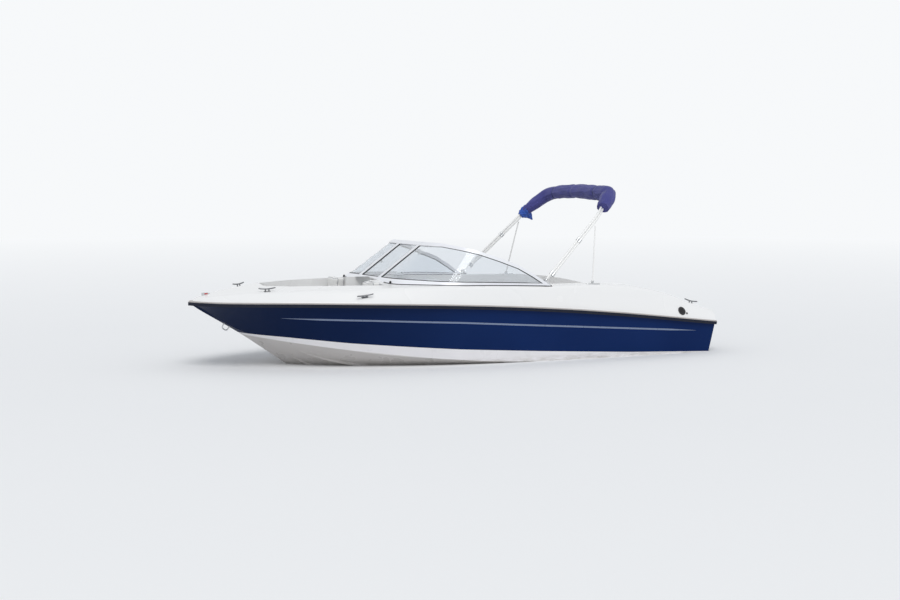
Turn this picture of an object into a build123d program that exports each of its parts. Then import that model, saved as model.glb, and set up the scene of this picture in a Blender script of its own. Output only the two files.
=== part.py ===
from build123d import *
import os
from math import atan2, cos, hypot, pi, radians, sin, tan

# A small sterndrive bowrider runabout, afloat and at rest.
# Frame: +X to the bow, +Y to port, +Z up. The origin lies on the centreline, amidships,
# in the plane of the water. All sizes are in millimetres.

os.makedirs("parts", exist_ok=True)

# Hull and deck form. One row for each station, from the transom to the stem.
# x, keel_z, chine_y, chine_z, sheer_y, sheer_z, shoulder_y, shoulder_z, crown_z, shoulder_r
STATIONS = [
    (-2820, -412, 925, -84, 976, 290, 852, 398, 415, 40),
    (-2100, -402, 948, -58, 1005, 372, 890, 622, 655, 60),
    (-1400, -388, 958, -33, 1030, 449, 930, 735, 772, 60),
    (-700, -370, 958, -5, 1041, 512, 962, 748, 790, 55),
    (0, -350, 932, 30, 1037, 560, 965, 764, 806, 55),
    (700, -322, 838, 92, 1000, 594, 905, 768, 824, 60),
    (1250, -228, 685, 158, 905, 612, 800, 756, 838, 80),
    (1700, -5, 470, 228, 745, 621, 630, 745, 832, 80),
    (2100, 262, 152, 306, 540, 623, 410, 728, 785, 60),
    (2420, 457, 32, 473, 315, 621, 205, 700, 728, 30),
    (2660, 604, 5, 607, 45, 625, 26, 650, 655, 4),
]
DECK_JOIN_GAP = 0.4
FOOT_IN = 16
FOOT_UP = 26
SKIN = 20
INNER_STATIONS = 9

# Lifting strakes: where they run as shares of the bottom's half width, and their size
STRAKE_SHARES = (0.36, 0.68)
STRAKE_W = 42
STRAKE_TIP_W = 8
STRAKE_ROOT = 12
STRAKE_STATIONS = 8

# Side-view line between the blue topsides and the white bottom, (x, z).
PAINT_LINE = [
    (-2900, -8), (-2590, 6), (-1660, 43), (-550, 105), (270, 156),
    (920, 207), (1320, 241), (1620, 273), (1840, 295), (2060, 313), (2230, 332), (2420, 352),
]

# Transom
TRANSOM_ANGLE = 14
TRANSOM_TOP_X = -2700
TRANSOM_TOP_Z = 306
TRANSOM_CORNER_R = 150

# Side-view line of the deck's aft end: the step behind the coaming, then the rounded stern, (x, z)
STERN_LINE = [(-2285, 900), (-2285, 578), (-2325, 530), (-2690, 448), (-2765, 300)]
STERN_LINE_R = (10, 30, 70)

# Rub rail
RAIL_OUT = 24
RAIL_DOWN = 22
RAIL_UP = 20
INSERT_OUT = 17
INSERT_H = 12
RAIL_BITE = 14
RAIL_STERN_JOINT_X = -2560
RAIL_BOW_JOINT_X = 1250

# Cockpit and bow wells
SOLE_Z = 0
SOLE_MAT_T = 6
LINER_FLOOR_T = 15
STEP_Z = 120
WALK_HALF = 270
DASH_X = 250
FOOTWELL_X = 800
CONSOLE_FRONT_X = 950
CONSOLE_WALL = 40
BOW_SOLE_Z = 150
BOW_BENCH_Z = 420
BOW_FOOT_HALF = 200
BOW_FOOT_X = 1650
AFT_BENCH_Z = 280
AFT_BENCH_X = -1750
WELL_AFT_X = -2250
WELL_TOP_Z = 1500
PLATFORM_X = -2360
PLATFORM_Z = 362
PLATFORM_HALF = 620

# Cushions
CUSHION_T = 80
CUSHION_R = 18
JUMP_BACK_H = 240
BOW_BACK_H = 400

# Engine and its box
ENGINE_BAY_HALF = 340
ENGINE_BAY_AFT_X = -2460
ENGINE_BAY_FLOOR_Z = -235
BOX_HALF = 372
BOX_WALL = 25
BOX_FRONT_X = -1500
ENGINE_SIZE = (680, 520, 560)
ENGINE_X = -1880
ENGINE_BOTTOM_Z = -205
BELL_SIZE = (215, 400, 400)
LID_HALF = 398
LID_FRONT_X = -1478
LID_AFT_X = -2232
LID_HINGE_X = -2238
LID_HINGE_Y = 240
HINGE_BARREL_R = 8
HINGE_PIN_R = 4
PAD_AFT_IN = 80
LID_FRONT_Z = 594
LID_SLOPE = 5.8
LID_T = 24
PAD_T = 44

# Windshield: plan outlines at the base height and at the top height, (x, y)
WS_BASE_Z = 790
WS_TOP_Z = 1163
WS_BASE = [(861, 0), (861, 590), (330, 905), (-750, 935)]
WS_TOP = [(340, 0), (340, 480), (60, 760), (-750, 890)]
WS_BASE_R = (240, 600)
WS_TOP_R = (200, 420)
WS_LOW_Z = 700
WS_HIGH_Z = 1200
WS_FRAME_T = 28
WS_GLASS_T = 8
WS_UPPER = [
    (1100, 1175), (300, 1168), (160, 1134), (30, 1100), (-185, 1026), (-371, 955), (-525, 868), (-712, 747),
]
WS_LOWER = [(-760, 762), (-155, 786), (450, 808), (900, 838)]
WS_RAIL_H = 34
WS_AFT_X = -735
DOOR_HALF = 225
DOOR_GAP = 5.5
POST_W = 32

# Bimini frame
BIMINI_HINGE = (-690, 886, 790)
LEG_R = 11
LEG_ANGLE = 43.5
LEG_LEN = 930
LEG_TOP_Y = 764
SHOULDER_S = 1245
SHOULDER_Y = 595
ARCH_RISE = 1272
LEG_BEND_R = 450
SHOULDER_R = 170
CROWN_R = 3000
EYE_LEN = 24
BOW_PITCH = 27
JAW_S = 95
SLIDE_S = 560
JAW_LEN = 40
JAW_WALL = 4
BOOT_R = 73
BOOT_END_S = 1000
STRUT_R = 7
EYE_PIN_R = 4
STRUT_PIN_R = 3
STRUT_EYE_R = 8
STRUT_EYE_HALF = 9.5
STRUT_EYE_Z = 765
STRUT_PAD_LEN = 165
STRUT_PAD_W = 50
STRUT_PAD_Z = 750
STRUT_FOOT = (-1228, 898)
STRUT_TOP = (-1322, 792, 1318)

# Sterndrive
TRIM_AXIS_X = -2750
TRIM_AXIS_Z = -95
RING_HALF = 122
RING_WINDOW_HALF = 92
RING_T = 36
RING_LOW_Z = -250
RING_HIGH_Z = 90
RING_BAR = 35
GIMBAL_PLATE_T = 22
GIMBAL_HALF = 150
PIN_R = 11
PIN_GAP = 0.3
PROP_SHAFT_Z = -645
PROP_R = 184
PROP_HUB_R = 54
PROP_HUB_X = (-3130, -3005)
PROP_PITCH = 480
PROP_BLADES = 3
SHAFT_R = 12
SKEG_T = 14
PLATE_Z = -430
PLATE_T = 10
TORPEDO_R = 47
CYL_Y = 152
CYL_R = 25
ROD_R = 9
CYL_FRONT = (-2750, -235)
CYL_REAR = (-3005, -190)
CYL_BODY_LEN = 168

# Drive leg sections: z, front x, back x, half width
UPPER_CASE = [
    (-12, -2822, -2962, 44), (-40, -2806, -2996, 70), (-130, -2798, -3012, 84), (-250, -2795, -3010, 80),
    (-400, -2770, -3010, 62), (PLATE_Z, -2765, -3020, 58),
]
LOWER_CASE = [
    (PLATE_Z - PLATE_T, -2772, -3000, 42), (-520, -2782, -2998, 33), (PROP_SHAFT_Z, -2795, -2990, 30),
]

# Blade sections: radius, chord, thickness, skew
BLADE = [(44, 76, 13, 0), (80, 116, 10, 2), (116, 136, 8, 7), (150, 122, 6, 15), (PROP_R - 8, 58, 4, 30)]

# Helm
WHEEL_R = 180
WHEEL_TUBE_R = 14
WHEEL_CENTRE = (105, -480, 590)
WHEEL_TILT = 28
FASCIA_Z = (430, 640)
FASCIA_T = 18
PANEL_Z = (652, 760)
PANEL_T = 14
SEAT_Y = 480
SEAT_X = -560
SEAT_TOP_Z = 400
SEAT_PAN_DROP = 120
SEAT_HALF = 235
SEAT_FRONT_R = 50
SEAT_BACK_R = 130
SEAT_BACK_Z = 655
SHELL_T = 22
CUSHION_GAP = 0.5
PEDESTAL_R = 36
PEDESTAL_BASE_R = 115
PEDESTAL_BASE_T = 12
COLUMN_R = 24

# Throttle box on the starboard side liner: pin centre (x, distance from the centreline, z)
THROTTLE_AT = (20, 800, 440)
THROTTLE_PIN_R = 8
THROTTLE_PIN_LEN = 24
THROTTLE_GAP = 1
THROTTLE_HUB_T = 14

# Deck fittings: where a line towards the deck starts, and sizes
BOW_CLEAT = (2050, 385, 1200)
SPRING_CLEAT = (1250, 1200, 690)
STERN_CLEAT = (-2480, 800, 1200)
CLEAT_LEN = 150
CLEAT_W = 26
CLEAT_H = 26
CLEAT_R = 6.5
VENT_AT = (-2270, 1300, 434)
VENT_R = 45
VENT_H = 9
FUEL_VENT_AT = (-2330, 1300, 408)
FUEL_VENT_R = 10
FUEL_VENT_H = 7
BOW_EYE_X = (2296, 2348)
STERN_EYE_Y = 780
STERN_EYE_Z = (70, 122)
EYE_R = 6
EYE_REACH = 46
EYE_ROOT = 12
EYE_BEND_R = 22
LIGHT_X = 2530
LIGHT_LEN = 74
LIGHT_W = 40
LIGHT_TOP_Z = 722


def xz_prism(points, y0, y1):
    face = make_face(Polyline(*[(x, y0, z) for x, z in points], close=True))
    return extrude(face, amount=y1 - y0, dir=(0, 1, 0))


def xy_prism(points, z0, z1):
    face = make_face(Polyline(*[(x, y, z0) for x, y in points], close=True))
    return extrude(face, amount=z1 - z0, dir=(0, 0, 1))


def mirrored_plan(points):
    return list(points) + [(x, -y) for x, y in reversed(points) if y]


def block(x0, x1, y0, y1, z0, z1):
    return Pos((x0 + x1) / 2, (y0 + y1) / 2, (z0 + z1) / 2) * Box(x1 - x0, y1 - y0, z1 - z0)


def both_sides(shape):
    return [shape, mirror(shape, about=Plane.XZ)]


def rod(a, b, radius):
    a, b = Vector(*a), Vector(*b)
    way = b - a
    return extrude(Plane(origin=a, z_dir=way) * Circle(radius), amount=way.length)


def cross_rod(x, y, z, half, radius):
    return rod((x, y - half, z), (x, y + half, z), radius)


def save(name, *shapes):
    solids = []
    for shape in shapes:
        solids += list(shape.solids())
    export_step(solids[0] if len(solids) == 1 else Compound(children=solids), f"parts/{name}.step")


def transom_x(z):
    return TRANSOM_TOP_X - (z - TRANSOM_TOP_Z) * tan(radians(TRANSOM_ANGLE))


# Hull form
def hull_section(row, inset):
    x, keel_z, chine_y, chine_z, sheer_y, sheer_z = row[:6]
    lift = inset * 1.1
    half = [(max(chine_y - inset, 3), chine_z + lift * 0.5), (max(sheer_y - inset, 8), sheer_z + lift)]
    points = [(x, 0, keel_z + lift)] + [(x, y, z) for y, z in half] + [(x, -y, z) for y, z in reversed(half)]
    return make_face(Polyline(*points, close=True))


def deck_section(row):
    x, sheer_y, sheer_z, shoulder_y, shoulder_z, crown_z, shoulder_r = row[0], *row[4:10]
    foot_in = min(FOOT_IN, (sheer_y - shoulder_y) * 0.3)
    foot_up = min(FOOT_UP, (shoulder_z - sheer_z) * 0.3)
    half = [
        (sheer_y, sheer_z + DECK_JOIN_GAP),
        (sheer_y - foot_in, sheer_z + foot_up),
        (shoulder_y, shoulder_z),
        (0, crown_z),
    ]
    points = [(x, y, z) for y, z in half] + [(x, -y, z) for y, z in half[-2::-1]]
    radii = [0, 0, shoulder_r, 0, shoulder_r, 0, 0]
    return make_face(FilletPolyline(*points, radius=radii, close=True))


hull_loft = loft([hull_section(row, 0) for row in STATIONS])
hull_inner = loft([hull_section(row, SKIN) for row in STATIONS[:INNER_STATIONS]])
deck_outer = loft([deck_section(row) for row in STATIONS])

# Transom: a raked prism with rounded corners trims both mouldings.
rake = radians(TRANSOM_ANGLE)
prism_z = -700
prism_x = transom_x(prism_z)


def transom_prism(out):
    points = [(prism_x - out / cos(rake), 1000 + out * 0.55), (-1200, 1330 + out), (4000, 1330 + out)]
    points = [(x, y, prism_z) for x, y in points] + [(x, -y, prism_z) for x, y in reversed(points)]
    radii = [TRANSOM_CORNER_R + out, 0, 0, 0, 0, TRANSOM_CORNER_R + out]
    wire = FilletPolyline(*points, radius=radii, close=True)
    return extrude(make_face(wire), amount=2400, dir=(-sin(rake), 0, cos(rake)))


trim_prism = transom_prism(0)
hull_outer = hull_loft & trim_prism
hull_inner = hull_inner & (Pos(SKIN, 0, 0) * trim_prism)

# The deck steps down behind the coaming and rounds over into the transom.
stern_points = STERN_LINE + [(-3000, STERN_LINE[-1][1]), (-3000, STERN_LINE[0][1])]
stern_wire = FilletPolyline(
    *[(x, -1300, z) for x, z in stern_points], radius=[0, *STERN_LINE_R, 0, 0, 0], close=True
)
deck_outer = (deck_outer & trim_prism) - extrude(make_face(stern_wire), amount=2600, dir=(0, 1, 0))

# Wells
low_well = xy_prism(
    mirrored_plan([(AFT_BENCH_X, 640), (-1500, 690), (-200, 690), (DASH_X, 640)]), SOLE_Z, WELL_TOP_Z
)
main_well = xy_prism(
    mirrored_plan([(WELL_AFT_X, 690), (-1500, 790), (-700, 835), (DASH_X, 835)]), AFT_BENCH_Z, WELL_TOP_Z
)
side_well = xy_prism(
    mirrored_plan([(AFT_BENCH_X, 760), (-1500, 790), (-700, 835), (DASH_X, 835)]), STEP_Z, WELL_TOP_Z
)
walk_end_x = CONSOLE_FRONT_X + 50
walk = block(DASH_X - 50, walk_end_x, -WALK_HALF, WALK_HALF, SOLE_Z, WELL_TOP_Z)
console_y = WALK_HALF + CONSOLE_WALL
foot_low = xy_prism(
    [(DASH_X - 10, console_y), (FOOTWELL_X, console_y), (FOOTWELL_X, 500), (DASH_X - 10, 640)],
    SOLE_Z, WELL_TOP_Z,
)
foot_high = xy_prism(
    [(DASH_X - 10, console_y), (FOOTWELL_X, console_y), (FOOTWELL_X, 690), (DASH_X - 10, 800)],
    STEP_Z, WELL_TOP_Z,
)
bow_plan = [(CONSOLE_FRONT_X, 640), (1400, 520), (1800, 340), (2000, 170)]
bow_well = xy_prism(mirrored_plan(bow_plan), BOW_BENCH_Z, WELL_TOP_Z)
bow_foot = block(CONSOLE_FRONT_X, BOW_FOOT_X, -BOW_FOOT_HALF, BOW_FOOT_HALF, BOW_SOLE_Z, WELL_TOP_Z)
bay_front_x = BOX_FRONT_X - BOX_WALL
bay_top_z = AFT_BENCH_Z - LINER_FLOOR_T
bay = block(ENGINE_BAY_AFT_X, bay_front_x, -ENGINE_BAY_HALF, ENGINE_BAY_HALF, ENGINE_BAY_FLOOR_Z, bay_top_z)
bay_top = block(WELL_AFT_X, bay_front_x, -ENGINE_BAY_HALF, ENGINE_BAY_HALF, AFT_BENCH_Z - 60, WELL_TOP_Z)
deck_wells = [low_well, main_well, side_well, walk, bow_well, bow_foot, bay, bay_top]
liner_wells = deck_wells + both_sides(foot_low) + both_sides(foot_high)
platform_cut = block(-3000, PLATFORM_X, -PLATFORM_HALF, PLATFORM_HALF, PLATFORM_Z, WELL_TOP_Z)

# Inner mouldings: the sole, the side liners with the stern, the two consoles and the bow seats.
floor_z = SOLE_Z - LINER_FLOOR_T
bow_floor_z = BOW_SOLE_Z - LINER_FLOOR_T
floor_profile = [
    (-2900, floor_z), (walk_end_x, floor_z), (walk_end_x + 100, bow_floor_z), (BOW_FOOT_X + 60, bow_floor_z),
    (1900, bow_floor_z + 60), (2140, BOW_BENCH_Z), (2900, 700), (2900, WELL_TOP_Z), (-2900, WELL_TOP_Z),
]
liner_envelope = hull_inner & hull_outer & xz_prism(floor_profile, -1500, 1500)
hull_rest = hull_outer - liner_envelope - bay
liner = liner_envelope
for well in liner_wells:
    liner = liner - well
sole_zone = block(-3000, walk_end_x, -1300, 1300, -900, SOLE_Z)
upper_liner = liner - sole_zone
save("cockpit_sole", liner & sole_zone)
save(
    "liner",
    upper_liner & block(WELL_AFT_X, DASH_X, -1300, 1300, -900, 900),
    upper_liner & block(-3000, WELL_AFT_X, -1300, 1300, -900, 900),
)
save("consoles", upper_liner & block(DASH_X, CONSOLE_FRONT_X, -1300, 1300, -900, 900))
save("bow_liner", upper_liner & block(CONSOLE_FRONT_X, 3000, -1300, 1300, -900, 900))


# Lifting strakes: flat underside, upright outer face, fading out at the fore end.
def strake(share, side):
    sections = []
    rows = STATIONS[:STRAKE_STATIONS]
    for row in rows:
        x, keel_z, chine_y, chine_z = row[:4]
        width = STRAKE_TIP_W if row is rows[-1] else STRAKE_W
        rise = (chine_z - keel_z) / chine_y
        outer_y = chine_y * share
        inner_y = outer_y - width
        inner_z = keel_z + inner_y * rise
        outer_z = keel_z + outer_y * rise
        root_z = (inner_z + STRAKE_ROOT, outer_z + STRAKE_ROOT)
        loop = [(inner_y, inner_z), (inner_y, root_z[0]), (outer_y, root_z[1]), (outer_y, inner_z)]
        sections.append(make_face(Polyline(*[(x, side * y, z) for y, z in loop], close=True)))
    return loft(sections) & trim_prism


# Paint line splits the one hull moulding into topsides and bottom.
below_paint = xz_prism(PAINT_LINE + [(2900, -900), (-2900, -900)], -1500, 1500)
hull_bottom = hull_rest & below_paint
for share in STRAKE_SHARES:
    for side in (1, -1):
        hull_bottom = hull_bottom + strake(share, side)
save("hull_bottom", hull_bottom)
save("hull_topsides", hull_rest - below_paint)

deck = deck_outer
for well in deck_wells + [platform_cut]:
    deck = deck - well
save("deck", deck)

# Rub rail: the band outside the mouldings at the sheer, inside a side-view strip.
sheer_mark = Vertex(STATIONS[3][0], STATIONS[3][4], STATIONS[3][5])
sheer_edge = [e for e in hull_loft.edges() if e.length > 3000 and e.distance_to(sheer_mark) < 1][0]
sheer_points = [sheer_edge @ (i / 22) for i in range(23)]
sheer_ways = [sheer_edge % (i / 22) for i in range(23)]
if sheer_points[0].X > sheer_points[-1].X:
    sheer_points = sheer_points[::-1]
    sheer_ways = [w * -1 for w in sheer_ways[::-1]]
sheer_line = [(p.X, p.Z) for p in sheer_points]


def outset_plan(out):
    half = []
    for p, w in zip(sheer_points, sheer_ways):
        size = hypot(w.X, w.Y)
        half.append((p.X - w.Y / size * out, p.Y + w.X / size * out))
    nose = (STATIONS[-1][0] + 18 + out, 0)
    lines = [Spline(*half), Line(half[-1], nose), Line(nose, (half[-1][0], -half[-1][1]))]
    lines += [Spline(*[(x, -y) for x, y in reversed(half)])]
    lines += [Line((half[0][0], -half[0][1]), half[0])]
    return make_face(lines)


def sheer_band(low, high, out):
    end_z = STATIONS[-1][5]
    points = [(x, z + low) for x, z in sheer_line] + [(2900, end_z + low), (2900, end_z + high)]
    points += [(x, z + high) for x, z in reversed(sheer_line)]
    solid = extrude(Pos(0, 0, 100) * outset_plan(out), amount=700, dir=(0, 0, 1))
    core = extrude(Pos(0, 0, 100) * outset_plan(-RAIL_BITE), amount=700, dir=(0, 0, 1)) & transom_prism(-RAIL_BITE)
    band = (solid - core) & xz_prism(points, -1300, 1300) & transom_prism(out)
    return band - hull_outer - deck_outer


rub_rail = sheer_band(-RAIL_DOWN, RAIL_UP - INSERT_H, RAIL_OUT)
rail_lengths = [rub_rail & block(-3000, RAIL_STERN_JOINT_X, -1300, 1300, 0, 900)]
for low_y, high_y in ((0, 1300), (-1300, 0)):
    rail_lengths.append(rub_rail & block(RAIL_STERN_JOINT_X, RAIL_BOW_JOINT_X, low_y, high_y, 0, 900))
    rail_lengths.append(rub_rail & block(RAIL_BOW_JOINT_X, 3000, low_y, high_y, 0, 900))
save("rub_rail", *rail_lengths)
save("rub_rail_insert", sheer_band(RAIL_UP - INSERT_H, RAIL_UP, INSERT_OUT))

# Cockpit sole mat
mat_plan = [
    (AFT_BENCH_X + 8, 625), (-1500, 675), (-200, 675), (DASH_X - 4, 625),
    (DASH_X - 4, WALK_HALF - 8), (CONSOLE_FRONT_X - 60, WALK_HALF - 8),
]
mat = xy_prism(mirrored_plan(mat_plan), SOLE_Z, SOLE_Z + SOLE_MAT_T)
mat = mat - block(-3000, BOX_FRONT_X + 6, -BOX_HALF - 6, BOX_HALF + 6, -50, 200)
save("cockpit_mat", mat)

# Engine box, engine and hatch
lid_drop = tan(radians(LID_SLOPE))


def lid_z(x, up):
    return LID_FRONT_Z - (LID_FRONT_X - x) * lid_drop + up


box_walls = block(WELL_AFT_X, BOX_FRONT_X, -BOX_HALF, BOX_HALF, SOLE_Z, 800)
box_walls -= block(WELL_AFT_X - 9, bay_front_x, -BOX_HALF + BOX_WALL, BOX_HALF - BOX_WALL, -10, 900)
box_walls -= block(WELL_AFT_X - 9, AFT_BENCH_X, -BOX_HALF - 5, BOX_HALF + 5, -10, AFT_BENCH_Z)
under_lid = -LID_T - PIN_GAP
over = [(-2400, lid_z(-2400, under_lid)), (-1400, lid_z(-1400, under_lid)), (-1400, 1000), (-2400, 1000)]
box_walls -= xz_prism(over, -500, 500)
save("engine_box", box_walls)

engine_len, engine_width, engine_high = ENGINE_SIZE
bell_len, bell_width, bell_high = BELL_SIZE
bell_x = ENGINE_X - engine_len / 2
engine_y, engine_top_z = engine_width / 2, ENGINE_BOTTOM_Z + engine_high
engine = block(bell_x, bell_x + engine_len, -engine_y, engine_y, ENGINE_BOTTOM_Z, engine_top_z)
engine = fillet(engine.edges().filter_by(Axis.X), 60)
bell_y, bell_top_z = bell_width / 2, ENGINE_BOTTOM_Z + bell_high
engine += block(bell_x - bell_len, bell_x + 1, -bell_y, bell_y, ENGINE_BOTTOM_Z, bell_top_z)
for foot_x in (ENGINE_X - 300, ENGINE_X + 140):
    for foot_y in (-200, 200):
        engine += block(foot_x, foot_x + 80, foot_y - 30, foot_y + 30, ENGINE_BAY_FLOOR_Z, ENGINE_BOTTOM_Z)
save("engine_block", engine)

lid_profile = [
    (LID_AFT_X, lid_z(LID_AFT_X, -LID_T)), (LID_FRONT_X, lid_z(LID_FRONT_X, -LID_T)),
    (LID_FRONT_X, lid_z(LID_FRONT_X, 0)), (LID_AFT_X, lid_z(LID_AFT_X, 0)),
]
hatch_lid = xz_prism(lid_profile, -LID_HALF, LID_HALF)
hatch_lid = fillet(hatch_lid.edges().filter_by(Axis.Z, tolerance=12).filter_by(lambda e: e.length < 60), 10)
pad_in = 12
pad_aft = LID_AFT_X + PAD_AFT_IN
pad_front = LID_FRONT_X - pad_in
pad_profile = [
    (pad_aft, lid_z(pad_aft, 0)), (pad_front, lid_z(pad_front, 0)),
    (pad_front, lid_z(pad_front, PAD_T)), (pad_aft, lid_z(pad_aft, PAD_T)),
]
hatch_pad = xz_prism(pad_profile, -LID_HALF + pad_in, LID_HALF - pad_in)
hatch_pad = fillet(hatch_pad.faces().sort_by(Axis.Z)[-1].edges(), 14)
hinge_line_z = lid_z(LID_HINGE_X, -LID_T / 2)


def hinge_barrel(y0, y1, radius):
    return rod((LID_HINGE_X, y0, hinge_line_z), (LID_HINGE_X, y1, hinge_line_z), radius)


hinges = []
for y in (-LID_HINGE_Y, LID_HINGE_Y):
    hatch_lid += hinge_barrel(y - 20, y + 20, HINGE_BARREL_R)
    hatch_lid -= hinge_barrel(y - 45, y + 45, HINGE_PIN_R + PIN_GAP)
    fixed = hinge_barrel(y - 40, y - 20 - PIN_GAP, HINGE_BARREL_R)
    fixed += hinge_barrel(y + 20 + PIN_GAP, y + 40, HINGE_BARREL_R)
    for end in (y - 30.15, y + 30.15):
        fixed += block(WELL_AFT_X, LID_HINGE_X, end - 9.85, end + 9.85, hinge_line_z - 5, hinge_line_z + 5)
    fixed += block(WELL_AFT_X, WELL_AFT_X + 3, y - 40, y + 40, hinge_line_z - 22, hinge_line_z + 22)
    hinges.append(fixed + hinge_barrel(y - 40, y + 40, HINGE_PIN_R))
    for notch_y in (y - 42, y + 20):
        hatch_lid -= block(LID_AFT_X - 20, LID_AFT_X + 4, notch_y, notch_y + 22, 400, 600)
save("hatch_lid", hatch_lid)
save("hatch_pad", hatch_pad)
save("hatch_hinges", *hinges)


# Aft jump seats and bow seats
def cushion(plan, z0, thick, r):
    solid = xy_prism(plan, z0, z0 + thick)
    return fillet(solid.faces().sort_by(Axis.Z)[-1].edges(), r)


jump_x = WELL_AFT_X + 80
jump_plan = [(jump_x, BOX_HALF + 12), (jump_x, 690), (AFT_BENCH_X - 6, 740), (AFT_BENCH_X - 6, BOX_HALF + 12)]
save("jump_seat_cushions", *both_sides(cushion(jump_plan, AFT_BENCH_Z, CUSHION_T, CUSHION_R)))
back_x = (WELL_AFT_X + 2, WELL_AFT_X + 74)
jump_back_plan = [(back_x[0], BOX_HALF + 30), (back_x[0], 680), (back_x[1], 686), (back_x[1], BOX_HALF + 30)]
save("jump_seat_backs", *both_sides(cushion(jump_back_plan, AFT_BENCH_Z, JUMP_BACK_H, CUSHION_R)))
bow_seat_x = CONSOLE_FRONT_X + 92
foot_edge = BOW_FOOT_HALF + 2
bow_seat_plan = [(bow_seat_x, foot_edge), (bow_seat_x, 600), (1400, 505), (1640, 404), (1640, foot_edge)]
save("bow_seat_cushions", *both_sides(cushion(bow_seat_plan, BOW_BENCH_Z, CUSHION_T, CUSHION_R)))
bow_centre_plan = mirrored_plan([(BOW_FOOT_X + 2, 398), (1790, 335), (1940, 212)])
save("bow_centre_cushion", cushion(bow_centre_plan, BOW_BENCH_Z, CUSHION_T, CUSHION_R))
back_x = (CONSOLE_FRONT_X + 1, CONSOLE_FRONT_X + 84)
back_y = WALK_HALF + 25
bow_back_plan = [(back_x[0], back_y), (back_x[0], 575), (back_x[1], 560), (back_x[1], back_y)]
save("bow_seat_backs", *both_sides(cushion(bow_back_plan, BOW_BENCH_Z, BOW_BACK_H, CUSHION_R + 4)))


# Swivelling helm and companion seats: a moulded pan and back on a pedestal, with two cushions
def pedestal(side):
    x, y = SEAT_X, side * SEAT_Y
    foot_z = SOLE_Z + SOLE_MAT_T
    post_len = SEAT_TOP_Z - SEAT_PAN_DROP - foot_z
    base = Pos(x, y, foot_z + PEDESTAL_BASE_T / 2) * Cylinder(PEDESTAL_BASE_R, PEDESTAL_BASE_T)
    base = chamfer(base.edges().sort_by(Axis.Z)[-1], PEDESTAL_BASE_T * 0.6)
    return base + Pos(x, y, foot_z + post_len / 2) * Cylinder(PEDESTAL_R, post_len)


def seat_plan(x, y, inset):
    half = SEAT_HALF - inset
    points = [(x + half, y - half), (x + half, y + half), (x - half, y + half), (x - half, y - half)]
    return FilletPolyline(*points, radius=[SEAT_FRONT_R, SEAT_FRONT_R, SEAT_BACK_R, SEAT_BACK_R], close=True)


def seat_shell(x, y, z0):
    tub = extrude(Pos(0, 0, z0) * make_face(seat_plan(x, y, 0)), amount=SEAT_BACK_Z - z0)
    hollow = extrude(Pos(0, 0, z0 + SHELL_T) * make_face(seat_plan(x, y, SHELL_T)), amount=SEAT_BACK_Z)
    arm_line = [
        (x + 300, z0 + SHELL_T), (x + 80, z0 + SHELL_T), (x - 110, SEAT_TOP_Z + 10), (x - 170, SEAT_BACK_Z + 1),
        (x + 300, SEAT_BACK_Z + 1),
    ]
    return tub - hollow - xz_prism(arm_line, y - 400, y + 400)


def seat_cushions(x, y, z0):
    room = make_face(seat_plan(x, y, SHELL_T + CUSHION_GAP))
    base_z = z0 + SHELL_T
    seat = extrude(Pos(0, 0, base_z) * room, amount=SEAT_TOP_Z - base_z)
    seat = seat & block(x - 145, x + 300, y - 400, y + 400, 0, 900)
    seat = fillet(seat.faces().sort_by(Axis.Z)[-1].edges(), 22)
    back = extrude(Pos(0, 0, base_z) * room, amount=SEAT_BACK_Z + 12 - base_z)
    back = back & block(x - 300, x - 147, y - 400, y + 400, 0, 900)
    return seat, fillet(back.faces().sort_by(Axis.Z)[-1].edges(), 12)


save("seat_pedestals", pedestal(1), pedestal(-1))
for name, side in (("companion_seat", 1), ("helm_seat", -1)):
    place = (SEAT_X, side * SEAT_Y, SEAT_TOP_Z - SEAT_PAN_DROP + PIN_GAP)
    save(name + "_shell", seat_shell(*place))
    save(name + "_cushion", *seat_cushions(*place))

# Helm: wheel, column, fascia, instrument panel and throttle
wheel_n = Vector(-cos(radians(WHEEL_TILT)), 0, sin(radians(WHEEL_TILT)))
wheel_c = Vector(*WHEEL_CENTRE)
wheel_plane = Plane(origin=wheel_c, x_dir=(0, 1, 0), z_dir=wheel_n)
spoke_len = WHEEL_R - WHEEL_TUBE_R
wheel = wheel_plane * Torus(spoke_len, WHEEL_TUBE_R)
hub = Pos(0, 0, -12) * Cylinder(34, 40)
wheel += wheel_plane * fillet(hub.edges().sort_by(Axis.Z)[-1], 8)
for a in (90, 210, 330):
    wheel += wheel_plane * Rot(0, 0, a) * Pos(spoke_len / 2, 0, -4) * Box(spoke_len, 26, 7)
save("steering_wheel", wheel)
column_top = wheel_c - wheel_n * (32 + PIN_GAP)
helm_column = rod(tuple(column_top), tuple(wheel_c - wheel_n * 300), COLUMN_R)
save("helm_column", helm_column & block(-500, DASH_X, -900, 0, 0, 900))
fascia = block(DASH_X, DASH_X + FASCIA_T, -790, -console_y, *FASCIA_Z) - deck_outer
save("helm_fascia", fascia)
panel = block(DASH_X - PANEL_T, DASH_X, -700, -290, *PANEL_Z)
save("instrument_panel", fillet(panel.edges().filter_by(Axis.X), 20))

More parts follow.
